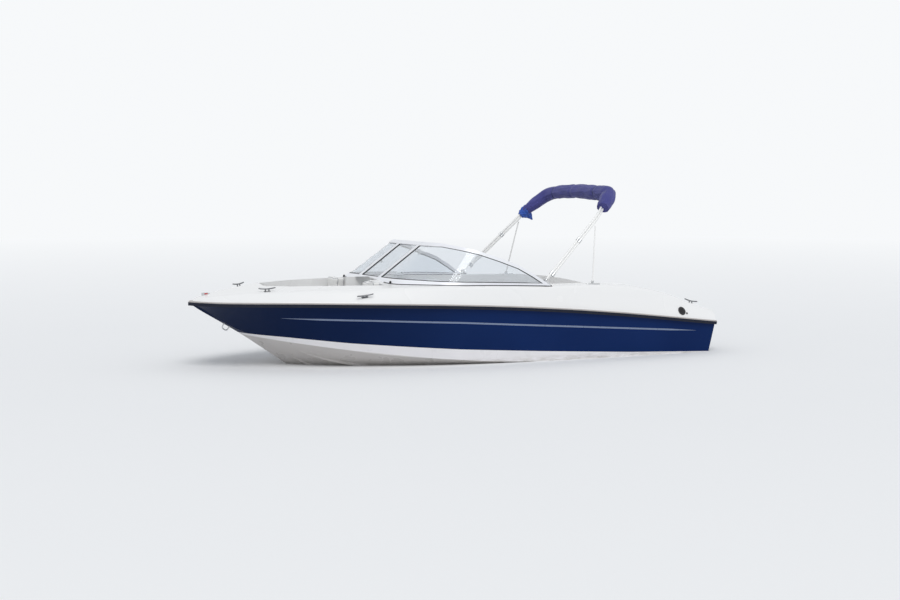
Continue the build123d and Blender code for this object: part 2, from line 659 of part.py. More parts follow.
lever_x, lever_y, lever_z = THROTTLE_AT
box_in = 835 - lever_y
throttle_base = block(lever_x - 62, lever_x + 62, -lever_y - box_in, -lever_y, lever_z - 45, lever_z + 55)
throttle_base = fillet(throttle_base.edges().filter_by(Axis.Y), 22)
pin_in, pin_out = -lever_y - 5, -lever_y + THROTTLE_PIN_LEN
throttle_base += rod((lever_x, pin_in, lever_z), (lever_x, pin_out, lever_z), THROTTLE_PIN_R)
save("throttle_base", throttle_base)
lever_in = -lever_y + THROTTLE_GAP
lever_out = lever_in + THROTTLE_HUB_T
lever = rod((lever_x, lever_in, lever_z), (lever_x, lever_out, lever_z), 26)
lever += Pos(lever_x, lever_in + THROTTLE_HUB_T / 2, lever_z + 70) * Box(18, THROTTLE_HUB_T, 140)
lever += rod((lever_x, lever_in, lever_z + 140), (lever_x, lever_in + 72, lever_z + 140), 15)
lever -= rod((lever_x, lever_in - 5, lever_z), (lever_x, lever_out + 5, lever_z), THROTTLE_PIN_R + PIN_GAP)
save("throttle_lever", lever)


# Windshield: a raked shell between two plan outlines, cut by side-view lines
def ws_outline(z, out):
    t = (z - WS_BASE_Z) / (WS_TOP_Z - WS_BASE_Z)
    pts = [(b[0] + (a[0] - b[0]) * t, b[1] + (a[1] - b[1]) * t) for b, a in zip(WS_BASE, WS_TOP)]
    corner_r, side_r = [b + (a - b) * t for b, a in zip(WS_BASE_R, WS_TOP_R)]
    half = [(x, y, z) for x, y in pts[1:]]
    other = [(x, -y, z) for x, y, z in reversed(half)]
    wire = FilletPolyline(*half, *other, radius=[corner_r, side_r, 0, 0, side_r, corner_r], close=True)
    return offset(make_face(wire), amount=out, kind=Kind.INTERSECTION)


def ws_shell(thick):
    outer = loft([ws_outline(WS_LOW_Z, thick / 2), ws_outline(WS_HIGH_Z, thick / 2)], ruled=True)
    inner = loft([ws_outline(WS_LOW_Z, -thick / 2), ws_outline(WS_HIGH_Z, -thick / 2)], ruled=True)
    return (outer - inner) & block(WS_AFT_X, 1100, -1100, 1100, WS_LOW_Z + 1, WS_HIGH_Z - 1)


below_upper = xz_prism(WS_UPPER + [(-760, 700), (1100, 700)], -1100, 1100)
inner_upper = Pos(0, 0, -WS_RAIL_H) * below_upper
above_lower = xz_prism(WS_LOWER + [(1100, 850), (1100, 1300), (-760, 1300)], -1100, 1100)
window = inner_upper & above_lower
for post in both_sides(block(-100, 1100, DOOR_HALF - POST_W, DOOR_HALF + DOOR_GAP + POST_W, 600, 1300)):
    window = window - post
frame_all = (ws_shell(WS_FRAME_T) & below_upper) - window - deck_outer
glass_all = ws_shell(WS_GLASS_T) & window
door_zone = block(-300, 1200, -DOOR_HALF, DOOR_HALF, 600, 1300)
port_zone = block(-900, 1200, DOOR_HALF + DOOR_GAP, 1200, 600, 1300)
for name, whole in (("frame", frame_all), ("glass", glass_all)):
    save(f"windshield_{name}_port", whole & port_zone)
    save(f"windshield_{name}_starboard", mirror(whole & port_zone, about=Plane.XZ))
    save(f"door_{name}", whole & door_zone)

# Door hinge knuckles on the port post, on the cockpit side of the frame
slope_x, slope_z = WS_BASE[0][0] - WS_TOP[0][0], WS_BASE_Z - WS_TOP_Z
slope_len = hypot(slope_x, slope_z)
door_axis = Vector(slope_x / slope_len, 0, slope_z / slope_len)
door_normal = Vector(-door_axis.Z, 0, door_axis.X)
knuckle_in = WS_FRAME_T / 2 * door_normal.X + 2.9
knuckles = []
for t in (0.28, 0.74):
    on_slope = Vector(WS_BASE[0][0] - slope_x * t, DOOR_HALF + DOOR_GAP / 2, WS_BASE_Z - slope_z * t)
    mid = on_slope - door_normal * knuckle_in
    pin = rod(tuple(mid - door_axis * 22), tuple(mid + door_axis * 22), 4 - PIN_GAP)
    leaf_at = Plane(origin=mid, x_dir=door_axis, z_dir=door_normal)
    knuckles.append(pin + leaf_at * Pos(0, 12, 1.7) * Box(44, 20, 2.4))
save("door_hinges", *knuckles)

# Bimini: two hoops side by side, folded together in a canvas boot
hinge_x, hinge_y, hinge_z = BIMINI_HINGE
leg_angle = radians(LEG_ANGLE)
leg_way = Vector(-cos(leg_angle), 0, sin(leg_angle))
leg_down = Vector(-sin(leg_angle), 0, -cos(leg_angle))


def on_leg(s, y, drop=0):
    p = Vector(hinge_x, 0, hinge_z) + leg_way * s + leg_down * drop
    return (p.X, y, p.Z)


def leg_y(s):
    return hinge_y + (LEG_TOP_Y - hinge_y) * s / LEG_LEN


def hoop(start_s, drop, radius):
    half = [(start_s, leg_y(start_s)), (LEG_LEN, LEG_TOP_Y), (SHOULDER_S, SHOULDER_Y)]
    radii = [LEG_BEND_R, SHOULDER_R]
    if start_s > LEG_LEN:
        half, radii = [half[0], half[2]], radii[1:]
    points = [on_leg(s, y, drop) for s, y in half]
    points += [on_leg(ARCH_RISE, 0, drop)] + [on_leg(s, -y, drop) for s, y in reversed(half)]
    path = FilletPolyline(*points, radius=[*radii, CROWN_R, *reversed(radii)])
    first = Vector(*points[1]) - Vector(*points[0])
    return sweep(Plane(origin=points[0], z_dir=first) * Circle(radius), path=path)


main_bow = hoop(EYE_LEN, 0, LEG_R)
second_bow = hoop(JAW_S, BOW_PITCH, LEG_R)
save("bimini_main_bow", main_bow)
save("bimini_second_bow", second_bow)
save("bimini_boot", hoop(BOOT_END_S, BOW_PITCH / 2, BOOT_R) - main_bow - second_bow)


# Jaws that hold the second hoop to the main one, cut to fit both tubes
def jaw(s, side):
    start, end = on_leg(s, side * leg_y(s)), on_leg(s + JAW_LEN, side * leg_y(s + JAW_LEN))
    low_start = on_leg(s, side * leg_y(s), BOW_PITCH)
    low_end = on_leg(s + JAW_LEN, side * leg_y(s + JAW_LEN), BOW_PITCH)
    body = rod(start, end, LEG_R + JAW_WALL) + rod(low_start, low_end, LEG_R + JAW_WALL)
    return body - main_bow - second_bow


eye_ends = []
for side in (1, -1):
    y = side * hinge_y
    end = cross_rod(hinge_x, y, hinge_z, 7, 10)
    end += rod((hinge_x, y, hinge_z), on_leg(EYE_LEN - 0.3, side * leg_y(EYE_LEN - 0.3)), 7)
    eye_ends.append(end - cross_rod(hinge_x, y, hinge_z, 15, EYE_PIN_R + PIN_GAP))
    eye_ends += [jaw(JAW_S - 6, side), jaw(SLIDE_S, side)]
save("bimini_eye_ends", *eye_ends)


def deck_hinge(side):
    y = side * hinge_y
    base = block(hinge_x - 40, hinge_x + 40, y - 16, y + 16, 700, hinge_z - 18)
    for low_y in (y - 16, y + 10.5):
        base += block(hinge_x - 12, hinge_x + 12, low_y, low_y + 5.5, hinge_z - 30, hinge_z + 12)
    return (base + cross_rod(hinge_x, y, hinge_z, 18, EYE_PIN_R)) - deck_outer


save("bimini_deck_hinges", deck_hinge(1), deck_hinge(-1))


# Struts that stand on the coaming, each pinned between two ears on a low pad
def strut(side):
    foot = (STRUT_FOOT[0], side * STRUT_FOOT[1], STRUT_EYE_Z)
    top = (STRUT_TOP[0], side * STRUT_TOP[1], STRUT_TOP[2])
    body = rod(foot, top, STRUT_R) + cross_rod(*foot, STRUT_EYE_HALF, STRUT_EYE_R)
    return body - cross_rod(*foot, STRUT_EYE_HALF + 5, STRUT_PIN_R + PIN_GAP)


def strut_foot(side):
    x, y = STRUT_FOOT[0], side * STRUT_FOOT[1]
    pad = Pos(x, y, STRUT_PAD_Z - 30) * extrude(SlotOverall(STRUT_PAD_LEN, STRUT_PAD_W), amount=30)
    pad = fillet(pad.edges().group_by(Axis.Z)[-1], 6)
    for low_y in (y - STRUT_EYE_HALF - 5, y + STRUT_EYE_HALF + 1):
        pad += block(x - 8, x + 8, low_y, low_y + 4, STRUT_PAD_Z - 10, STRUT_EYE_Z + 10)
    return (pad + cross_rod(x, y, STRUT_EYE_Z, STRUT_EYE_HALF + 7, STRUT_PIN_R)) - deck_outer


save("strut_port", strut(1))
save("strut_starboard", strut(-1))
save("strut_feet", strut_foot(1), strut_foot(-1))


# Fittings seated on the deck: the place is found on the moulding itself
def seat_plane(start, way, along):
    hit, normal = deck_outer.find_intersection_points(Axis(start, way))[0]
    if normal.dot(Vector(*way)) > 0:
        normal = normal * -1
    ahead = Vector(*along)
    return Plane(origin=hit, x_dir=ahead - normal * ahead.dot(normal), z_dir=normal)


def cleat(length):
    half = length / 2
    base = Pos(0, 0, -8) * extrude(SlotOverall(length * 0.45, CLEAT_W), amount=12)
    for post_x in (-length * 0.11, length * 0.11):
        base += Pos(post_x, 0, CLEAT_H / 2) * Cylinder(CLEAT_R, CLEAT_H)
    bar = ThreePointArc((-half, 0, CLEAT_H + 8), (0, 0, CLEAT_H), (half, 0, CLEAT_H + 8))
    base += sweep(Plane(origin=bar @ 0, z_dir=bar % 0) * Circle(CLEAT_R), path=bar)
    for end in (-half, half):
        base += Pos(end, 0, CLEAT_H + 8) * Sphere(CLEAT_R)
    return base


cleats = []
for start, way, along, length in (
    (BOW_CLEAT, (0, 0, -1), (1, -0.5, 0), CLEAT_LEN),
    (SPRING_CLEAT, (0, -1, 0), (1, 0, 0), CLEAT_LEN),
    (STERN_CLEAT, (0, 0, -1), (1, 0, 0), CLEAT_LEN),
):
    cleats += both_sides(seat_plane(start, way, along) * cleat(length) - deck_outer)
save("mooring_cleats", *cleats)


def vent_cap(radius, high):
    cap = Pos(0, 0, high / 2 - 4) * Cylinder(radius, high + 8)
    return fillet(cap.edges().sort_by(Axis.Z)[-1], high * 0.4)


vent_at = seat_plane(VENT_AT, (0, -1, 0), (1, 0, 0))
vents = both_sides(vent_at * vent_cap(VENT_R, VENT_H) - deck_outer)
fuel_vent_at = seat_plane(FUEL_VENT_AT, (0, -1, 0), (1, 0, 0))
vents.append(fuel_vent_at * vent_cap(FUEL_VENT_R, FUEL_VENT_H) - deck_outer)
save("deck_vents", *vents)


# U-bolt eyes for the trailer winch at the stem and the tie-downs at the transom
def u_bolt(a, b, out):
    a, b, out = Vector(*a), Vector(*b), Vector(*out).normalized()
    ends = [a - out * EYE_ROOT, a + out * EYE_REACH, b + out * EYE_REACH, b - out * EYE_ROOT]
    path = FilletPolyline(*[tuple(p) for p in ends], radius=[EYE_BEND_R, EYE_BEND_R])
    bolt = sweep(Plane(origin=ends[0], z_dir=out) * Circle(EYE_R), path=path)
    for foot in (a, b):
        bolt += Plane(origin=foot - out * 4, z_dir=out) * Pos(0, 0, 3.5) * Cylinder(EYE_R * 2, 7)
    return bolt - hull_outer


stem_hits = [hull_outer.find_intersection_points(Axis((x, 0, -900), (0, 0, 1)))[0][0] for x in BOW_EYE_X]
stem_way = stem_hits[1] - stem_hits[0]
eyes = [u_bolt(tuple(stem_hits[0]), tuple(stem_hits[1]), (stem_way.Z, 0, -stem_way.X))]
transom_out = (-cos(rake), 0, -sin(rake))
eye_low, eye_high = [(transom_x(z), STERN_EYE_Y, z) for z in STERN_EYE_Z]
eyes += both_sides(u_bolt(eye_low, eye_high, transom_out))
save("hull_eyes", *eyes)

light_plan = [
    (LIGHT_X - LIGHT_LEN / 2, LIGHT_W / 2), (LIGHT_X + LIGHT_LEN / 2, LIGHT_W / 4),
    (LIGHT_X + LIGHT_LEN / 2, -LIGHT_W / 4), (LIGHT_X - LIGHT_LEN / 2, -LIGHT_W / 2),
]
light_wire = FilletPolyline(*[(x, y, LIGHT_TOP_Z - 50) for x, y in light_plan], radius=[8, 7, 7, 8], close=True)
bow_light = extrude(make_face(light_wire), amount=50, dir=(0, 0, 1))
bow_light = fillet(bow_light.faces().sort_by(Axis.Z)[-1].edges(), 5)
save("bow_light", bow_light - deck_outer)

# Sterndrive: gimbal housing and ring
px, pz = TRIM_AXIS_X, TRIM_AXIS_Z
plate_profile = [(transom_x(z), z) for z in (-330, 150)]
plate_back = [(x - GIMBAL_PLATE_T, z) for x, z in reversed(plate_profile)]
gimbal = xz_prism([(x + 60, z) for x, z in plate_profile] + plate_back, -GIMBAL_HALF, GIMBAL_HALF)
gimbal = fillet(gimbal.edges().filter_by(lambda e: abs(e.length - 60 - GIMBAL_PLATE_T) < 2), 40)
pin_top = Pos(px, 0, RING_HIGH_Z - 8) * Cylinder(PIN_R, 24)
pin_low = Pos(px, 0, RING_LOW_Z + 8) * Cylinder(PIN_R, 24)
gimbal += block(px - 24, transom_x(150) + 40, -40, 40, RING_HIGH_Z + 1, RING_HIGH_Z + 30) + pin_top
gimbal += block(px - 24, transom_x(-300) + 40, -40, 40, RING_LOW_Z - 30, RING_LOW_Z - 1) + pin_low
save("gimbal_housing", gimbal - hull_outer)

ring = block(px - RING_T / 2, px + RING_T / 2, -RING_HALF, RING_HALF, RING_LOW_Z, RING_HIGH_Z)
ring -= block(px - 50, px + 50, -RING_WINDOW_HALF, RING_WINDOW_HALF, RING_LOW_Z + RING_BAR, RING_HIGH_Z - RING_BAR)
ring = fillet(ring.edges().filter_by(Axis.X).group_by(SortBy.LENGTH)[0], 18)
ring += cross_rod(CYL_FRONT[0], 0, CYL_FRONT[1], CYL_Y + 22, 10)
for pin_z in (RING_HIGH_Z - 6, RING_LOW_Z + 6):
    ring -= Pos(px, 0, pin_z) * Cylinder(PIN_R + PIN_GAP, 30)
save("gimbal_ring", ring - cross_rod(px, 0, pz, RING_HALF + 5, PIN_R + PIN_GAP))


# Drive leg: rounded nose, widest at a third, thin square tail
def leaf_section(z, x_front, x_back, half):
    long = x_front - x_back
    side_points = [
        (x_front, 0), (x_front - long * 0.07, half * 0.6), (x_front - long * 0.3, half),
        (x_back + long * 0.25, half * 0.7), (x_back, half * 0.16),
    ]
    port = Spline(*[(x, y, z) for x, y in side_points], tangents=[(0, 1, 0), (-1, -half / long, 0)])
    starboard = Spline(*[(x, -y, z) for x, y in side_points], tangents=[(0, -1, 0), (-1, half / long, 0)])
    tail_y = half * 0.16
    return make_face([port, Line((x_back, tail_y, z), (x_back, -tail_y, z)), starboard])


upper_case = loft([leaf_section(*row) for row in UPPER_CASE], ruled=True)
upper_case += Pos(px, 0, pz) * Rot(90, 0, 0) * Cylinder(60, 2 * RING_WINDOW_HALF - 12)
upper_case += block(px - 120, px - 10, -62, 62, pz - 55, pz + 55)
upper_case += cross_rod(px, 0, pz, RING_WINDOW_HALF + 16, PIN_R)
upper_case += cross_rod(CYL_REAR[0], 0, CYL_REAR[1], CYL_Y + 20, 8)
save("drive_upper", upper_case)

plate_half = [(-2740, 0), (-2800, 85), (-3160, 120), (-3190, 90)]
gearcase = xy_prism(mirrored_plan(plate_half), PLATE_Z - PLATE_T, PLATE_Z)
gearcase += loft([leaf_section(*row) for row in LOWER_CASE], ruled=True)
case_end_x = PROP_HUB_X[1] + 4
torpedo_profile = [
    (-2690, 0), (-2700, 16), (-2725, 30), (-2775, 42), (-2850, TORPEDO_R), (case_end_x, TORPEDO_R), (case_end_x, 0),
]
shaft_axis = Axis((0, 0, PROP_SHAFT_Z), (1, 0, 0))
torpedo_wire = Polyline(*[(x, 0, PROP_SHAFT_Z + r) for x, r in torpedo_profile], close=True)
gearcase += revolve(make_face(torpedo_wire), shaft_axis)
skeg_profile = [(-2830, PROP_SHAFT_Z - 30), (-2985, PROP_SHAFT_Z - 30), (-3000, -860), (-2955, -880), (-2900, -860)]
gearcase += xz_prism(skeg_profile, -SKEG_T / 2, SKEG_T / 2)
gearcase += rod((PROP_HUB_X[1] + 10, 0, PROP_SHAFT_Z), (PROP_HUB_X[0] + 20, 0, PROP_SHAFT_Z), SHAFT_R)
save("drive_gearcase", gearcase)

# Propeller: three blades, each lofted through lens sections that turn with the pitch, on a flared exhaust hub
hub_front, hub_back = PROP_HUB_X[1], PROP_HUB_X[0]
hub_mid = (hub_front + hub_back) / 2


def lens_section(radius, chord, thick, skew):
    turn = atan2(PROP_PITCH, 2 * pi * radius)
    chord_way = (sin(turn), -cos(turn), 0)
    at = Plane(origin=(hub_mid, skew, radius), x_dir=chord_way, z_dir=(0, 0, 1))
    half, belly = chord / 2, thick / 2
    return at * make_face([
        ThreePointArc((-half, 0), (0, belly), (half, 0)), ThreePointArc((half, 0), (0, -belly), (-half, 0)),
    ])


hub_profile = [
    (hub_front, 0), (hub_front, PROP_HUB_R), (hub_mid, PROP_HUB_R - 4), (hub_back + 22, PROP_HUB_R - 3),
    (hub_back, PROP_HUB_R + 5), (hub_back, PROP_HUB_R), (hub_back + 20, PROP_HUB_R - 9),
    (hub_back + 46, PROP_HUB_R - 10), (hub_back + 46, 26), (hub_back + 12, 22), (hub_back + 4, 15), (hub_back + 4, 0),
]
propeller = revolve(make_face(Polyline(*[(x, 0, r) for x, r in hub_profile], close=True)), Axis.X)
blade = loft([lens_section(*row) for row in BLADE])
for k in range(PROP_BLADES):
    propeller += Rot(360 / PROP_BLADES * k, 0, 0) * blade
propeller -= rod((hub_front + 5, 0, 0), (hub_back + 12, 0, 0), SHAFT_R + PIN_GAP)
save("propeller", Pos(0, 0, PROP_SHAFT_Z) * propeller)

# Trim cylinders
cyl_way = Vector(CYL_REAR[0] - CYL_FRONT[0], 0, CYL_REAR[1] - CYL_FRONT[1])
cyl_len = cyl_way.length
cyl_dir = cyl_way.normalized()
for name, side in (("port", 1), ("starboard", -1)):
    front = Vector(CYL_FRONT[0], side * CYL_Y, CYL_FRONT[1])
    rear = front + cyl_dir * cyl_len
    body = rod(tuple(front + cyl_dir * 16), tuple(front + cyl_dir * CYL_BODY_LEN), CYL_R)
    body += cross_rod(*front, 13, 22)
    body -= rod(tuple(front + cyl_dir * 40), tuple(front + cyl_dir * (CYL_BODY_LEN + 5)), ROD_R + PIN_GAP)
    save("trim_cylinder_" + name, body - cross_rod(*front, 20, 10 + PIN_GAP))
    piston = rod(tuple(front + cyl_dir * 56), tuple(rear - cyl_dir * 18), ROD_R) + cross_rod(*rear, 11, 24)
    save("trim_rod_" + name, piston - cross_rod(*rear, 20, 16))
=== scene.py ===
from math import atan, cos, exp, pi, radians, sin, tan

import bmesh
import bpy
from mathutils import Matrix, Vector
from mathutils.bvhtree import BVHTree


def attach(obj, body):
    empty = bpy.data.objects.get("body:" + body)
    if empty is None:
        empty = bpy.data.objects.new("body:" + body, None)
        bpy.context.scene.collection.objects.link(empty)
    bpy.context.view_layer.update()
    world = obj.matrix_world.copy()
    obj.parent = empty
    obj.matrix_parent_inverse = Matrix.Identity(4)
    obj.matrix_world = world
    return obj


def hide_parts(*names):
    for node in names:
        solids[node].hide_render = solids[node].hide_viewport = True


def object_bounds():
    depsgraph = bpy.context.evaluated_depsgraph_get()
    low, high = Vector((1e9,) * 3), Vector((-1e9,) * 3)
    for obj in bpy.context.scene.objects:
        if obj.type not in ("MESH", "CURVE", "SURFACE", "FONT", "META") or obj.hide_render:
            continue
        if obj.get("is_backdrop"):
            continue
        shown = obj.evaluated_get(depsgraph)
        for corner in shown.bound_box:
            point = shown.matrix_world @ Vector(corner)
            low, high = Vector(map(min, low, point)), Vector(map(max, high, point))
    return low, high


# Sterndrive bowrider, dressed: finishes for every moulding and fitting, sewn upholstery,
# the furled canvas in its sleeve, trim lines, seals, gauges and small hardware.
# Metres, +X to the bow, +Y to port, +Z up, water plane at zero.

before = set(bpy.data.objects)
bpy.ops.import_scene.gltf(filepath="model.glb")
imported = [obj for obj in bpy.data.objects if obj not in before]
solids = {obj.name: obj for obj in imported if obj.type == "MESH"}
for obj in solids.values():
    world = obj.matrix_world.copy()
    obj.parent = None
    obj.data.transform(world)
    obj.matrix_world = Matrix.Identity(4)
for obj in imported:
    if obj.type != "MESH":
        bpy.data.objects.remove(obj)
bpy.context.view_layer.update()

# Camera station, from the horizon and the paired posts of the photograph
VIEW_FROM = (8.08, 16.02, 1.93)
VIEW_YAW = radians(27)
VIEW_PITCH = atan(135 / 1770)
VIEW_LENS = 70.8

# Studio: tones and levels, how far each ring of the floor grows, and the turn of the lamp
BACK_TONE = (0.93, 0.945, 0.96)
SKY_TONE = (0.93, 0.96, 1.0)
SKY_LEVEL = 0.62
SUN_LEVEL = 1.25
SUN_TURN = (radians(-38), radians(14), 0)
SUN_SPREAD = radians(30)
FLOOR_RINGS = ((1.9, 3.0, 1), (8, 8, 1), (12, 12, 1))
FADE_START = 5.0
FADE_END = 30.0

# Half-breadth of the hull at the water plane, from the transom to the stem
WATER_PLANE = [
    (-2.60, 0.90), (-2.10, 0.93), (-1.40, 0.94), (-0.70, 0.93), (-0.30, 0.90),
    (0.00, 0.83), (0.40, 0.74), (0.70, 0.63), (1.00, 0.50), (1.25, 0.38), (1.50, 0.20),
    (1.66, 0.05),
]

# Pinstripe on the topsides, x and z, its height, the length of its taper and its lift off the skin
PINSTRIPE = [(1.95, 0.489), (1.19, 0.464), (0.31, 0.420), (-0.94, 0.335), (-2.43, 0.231)]
PINSTRIPE_H = 0.017
PINSTRIPE_TAPER = 0.35
FILM_LIFT = 0.0006

# Chine line, below which the bottom is painted darker as shade: its height amidships, and how it rises
# towards the bow
CHINE_Z = 0.031
CHINE_SLOPE = 0.075
CHINE_CURVE = 0.024


# Small helpers for picking and finishing
def rest():
    if bpy.context.object and bpy.context.object.mode != "OBJECT":
        bpy.ops.object.mode_set(mode="OBJECT")
    bpy.ops.object.select_all(action="DESELECT")


def take(piece):
    rest()
    piece.select_set(True)
    bpy.context.view_layer.objects.active = piece
    return piece


def named(name):
    piece = bpy.context.object
    piece.name = name
    piece.data.name = name
    bpy.ops.object.transform_apply(location=True, rotation=True, scale=True)
    return piece


def edit(piece):
    take(piece)
    bpy.ops.object.mode_set(mode="EDIT")
    return bmesh.from_edit_mesh(piece.data)


def pick_faces(piece, test):
    """Selects the faces whose middle and normal pass the test, in edit mode."""
    shape = bmesh.from_edit_mesh(piece.data)
    bpy.ops.mesh.select_all(action="DESELECT")
    bpy.ops.mesh.select_mode(type="FACE")
    for face in shape.faces:
        face.select = bool(test(face.calc_center_median(), face.normal))
    shape.select_flush_mode()
    bmesh.update_edit_mesh(piece.data)


def bake_modifier(piece, kind, **settings):
    take(piece)
    work = piece.modifiers.new(kind.lower(), kind)
    for key, value in settings.items():
        setattr(work, key, value)
    bpy.ops.object.modifier_apply(modifier=work.name)


def smooth(piece, angle=35):
    take(piece)
    bpy.ops.object.shade_smooth_by_angle(angle=radians(angle))


def wear(piece, finish):
    piece.data.materials.clear()
    piece.data.materials.append(finish)


def finished(piece, finish, body, angle=35):
    wear(piece, finish)
    smooth(piece, angle)
    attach(piece, body)
    return piece


def along(points, x):
    """Reads z, or any second column, of a table sorted by falling or rising x."""
    rows = sorted(points)
    if x <= rows[0][0]:
        return rows[0][1]
    for (xa, za), (xb, zb) in zip(rows, rows[1:]):
        if x <= xb:
            return za + (zb - za) * (x - xa) / (xb - xa)
    return rows[-1][1]


# Finishes: one principled shader each, fed by patterns in object space
class Finish:
    def __init__(self, name, colour, rough, metal=0.0, coat=0.0, gloss=0.5, sheen=0.0):
        self.made = bpy.data.materials.new(name)
        self.made.use_nodes = True
        tree = self.made.node_tree
        self.nodes, self.links = tree.nodes, tree.links
        self.shader = self.nodes["Principled BSDF"]
        self.shader.inputs["Base Color"].default_value = (*colour, 1)
        self.shader.inputs["Roughness"].default_value = rough
        self.shader.inputs["Metallic"].default_value = metal
        self.shader.inputs["Specular IOR Level"].default_value = gloss
        self.shader.inputs["Coat Weight"].default_value = coat
        self.shader.inputs["Coat Roughness"].default_value = 0.06
        self.shader.inputs["Sheen Weight"].default_value = sheen
        self.place = self.nodes.new("ShaderNodeTexCoord").outputs["Object"]
        self.colour = colour
        self.tone = None
        self.bumped = None

    def stretched(self, scale):
        mapping = self.nodes.new("ShaderNodeMapping")
        mapping.inputs["Scale"].default_value = scale
        self.links.new(self.place, mapping.inputs["Vector"])
        return mapping.outputs["Vector"]

    def cloud(self, scale, detail=3.0, rough=0.5, where=None):
        node = self.nodes.new("ShaderNodeTexNoise")
        node.inputs["Scale"].default_value = scale
        node.inputs["Detail"].default_value = detail
        node.inputs["Roughness"].default_value = rough
        self.links.new(where or self.place, node.inputs["Vector"])
        return node.outputs["Fac"]

    def cells(self, scale, feature="F1"):
        node = self.nodes.new("ShaderNodeTexVoronoi")
        node.feature = feature
        node.inputs["Scale"].default_value = scale
        self.links.new(self.place, node.inputs["Vector"])
        return node.outputs["Distance"]

    def ribs(self, scale, direction="X"):
        node = self.nodes.new("ShaderNodeTexWave")
        node.bands_direction = direction
        node.inputs["Scale"].default_value = scale
        self.links.new(self.place, node.inputs["Vector"])
        return node.outputs["Fac"]

    def spread(self, value, low, high, to_low=0.0, to_high=1.0):
        node = self.nodes.new("ShaderNodeMapRange")
        ends = {"From Min": low, "From Max": high, "To Min": to_low, "To Max": to_high}
        for socket, number in ends.items():
            node.inputs[socket].default_value = number
        self.links.new(value, node.inputs["Value"])
        return node.outputs["Result"]

    def height_of(self, axis):
        node = self.nodes.new("ShaderNodeSeparateXYZ")
        self.links.new(self.place, node.inputs["Vector"])
        return node.outputs[axis]

    def maths(self, kind, a, b):
        node = self.nodes.new("ShaderNodeMath")
        node.operation = kind
        for slot, value in zip((0, 1), (a, b)):
            if isinstance(value, (int, float)):
                node.inputs[slot].default_value = value
            else:
                self.links.new(value, node.inputs[slot])
        return node.outputs["Value"]

    def tint(self, amount, colour):
        node = self.nodes.new("ShaderNodeMix")
        node.data_type = "RGBA"
        self.links.new(amount, node.inputs["Factor"])
        if self.tone:
            self.links.new(self.tone, node.inputs["A"])
        else:
            node.inputs["A"].default_value = (*self.colour, 1)
        node.inputs["B"].default_value = (*colour, 1)
        self.tone = node.outputs["Result"]
        self.links.new(self.tone, self.shader.inputs["Base Color"])
        return self

    def polish(self, amount, low, high):
        self.links.new(self.spread(amount, 0.25, 0.75, low, high), self.shader.inputs["Roughness"])
        return self

    def relief(self, height, depth, strength=1.0):
        node = self.nodes.new("ShaderNodeBump")
        node.inputs["Distance"].default_value = depth
        node.inputs["Strength"].default_value = strength
        self.links.new(height, node.inputs["Height"])
        if self.bumped:
            self.links.new(self.bumped, node.inputs["Normal"])
        self.bumped = node.outputs["Normal"]
        self.links.new(self.bumped, self.shader.inputs["Normal"])
        return self


def navy_gelcoat():
    f = Finish("navy_gelcoat", (0.0036, 0.0185, 0.092), 0.2, gloss=0.07)
    f.tint(f.spread(f.cloud(1.1, 2.0), 0.35, 0.7, 0.0, 0.6), (0.006, 0.026, 0.118))
    # Painted shade: the topsides are tinted darker towards the bow
    f.tint(f.spread(f.height_of("X"), -0.4, 2.4, 0.0, 0.8), (0.0026, 0.0085, 0.028))
    f.tint(f.spread(f.cloud(35, 4.0, 0.7), 0.62, 0.8, 0.0, 0.10), (0.05, 0.07, 0.12))
    f.polish(f.cloud(6, 4.0), 0.12, 0.24)
    f.relief(f.cloud(55, 2.0), 0.0003, 0.25)
    return f.made


def white_gelcoat():
    f = Finish("white_gelcoat", (0.86, 0.858, 0.85), 0.26, coat=0.12, gloss=0.4)
    f.tint(f.spread(f.cloud(1.7, 3.0), 0.35, 0.75, 0.0, 0.3), (0.83, 0.835, 0.845))
    f.polish(f.cloud(1.3, 2.0), 0.24, 0.29)
    f.relief(f.cloud(45, 2.0), 0.0002, 0.1)
    return f.made


def bottom_gelcoat():
    f = Finish("bottom_gelcoat", (0.86, 0.845, 0.86), 0.3, coat=0.15, gloss=0.4)
    # Painted shade, with some dirt: the down-facing V-bottom below the chine line is tinted darker
    ahead = f.height_of("X")
    steepening = f.maths("ADD", f.maths("MULTIPLY", ahead, CHINE_CURVE), CHINE_SLOPE)
    rise = f.maths("MULTIPLY", ahead, steepening)
    over = f.maths("SUBTRACT", f.height_of("Z"), rise)
    f.tint(f.spread(over, CHINE_Z - 0.004, CHINE_Z + 0.004, 1.0, 0.0), (0.58, 0.555, 0.54))
    low = f.spread(f.height_of("Z"), 0.0, 0.07, 1.0, 0.0)
    streak = f.spread(f.cloud(9, 5.0, 0.65, f.stretched((1.0, 1.0, 6.0))), 0.35, 0.7)
    f.tint(f.maths("MULTIPLY", low, streak), (0.42, 0.40, 0.36))
    f.tint(f.spread(f.cloud(3.0, 4.0), 0.4, 0.8, 0.0, 0.3), (0.66, 0.65, 0.65))
    f.polish(f.cloud(8, 4.0), 0.22, 0.42)
    f.relief(f.cloud(50, 2.0), 0.0004, 0.25)
    return f.made


def liner_gelcoat():
    f = Finish("liner_gelcoat", (0.85, 0.845, 0.83), 0.35, gloss=0.4)
    dots = f.spread(f.cells(170), 0.18, 0.42, 1.0, 0.0)
    level = f.spread(f.height_of("Z"), 0.13, 0.17, 1.0, 0.0)
    f.relief(f.maths("MULTIPLY", dots, level), 0.0008, 0.8)
    f.tint(f.spread(f.cloud(2.5, 4.0), 0.45, 0.85, 0.0, 0.3), (0.79, 0.785, 0.77))
    f.polish(f.cloud(9, 3.0), 0.34, 0.44)
    return f.made


def rail_vinyl():
    f = Finish("rail_vinyl", (0.012, 0.015, 0.028), 0.42, gloss=0.15)
    f.tint(f.spread(f.cloud(14, 5.0, 0.6), 0.45, 0.8, 0.0, 0.35), (0.032, 0.036, 0.052))
    f.polish(f.cloud(22, 4.0), 0.34, 0.55)
    f.relief(f.cloud(160, 3.0), 0.0003, 0.4)
    return f.made


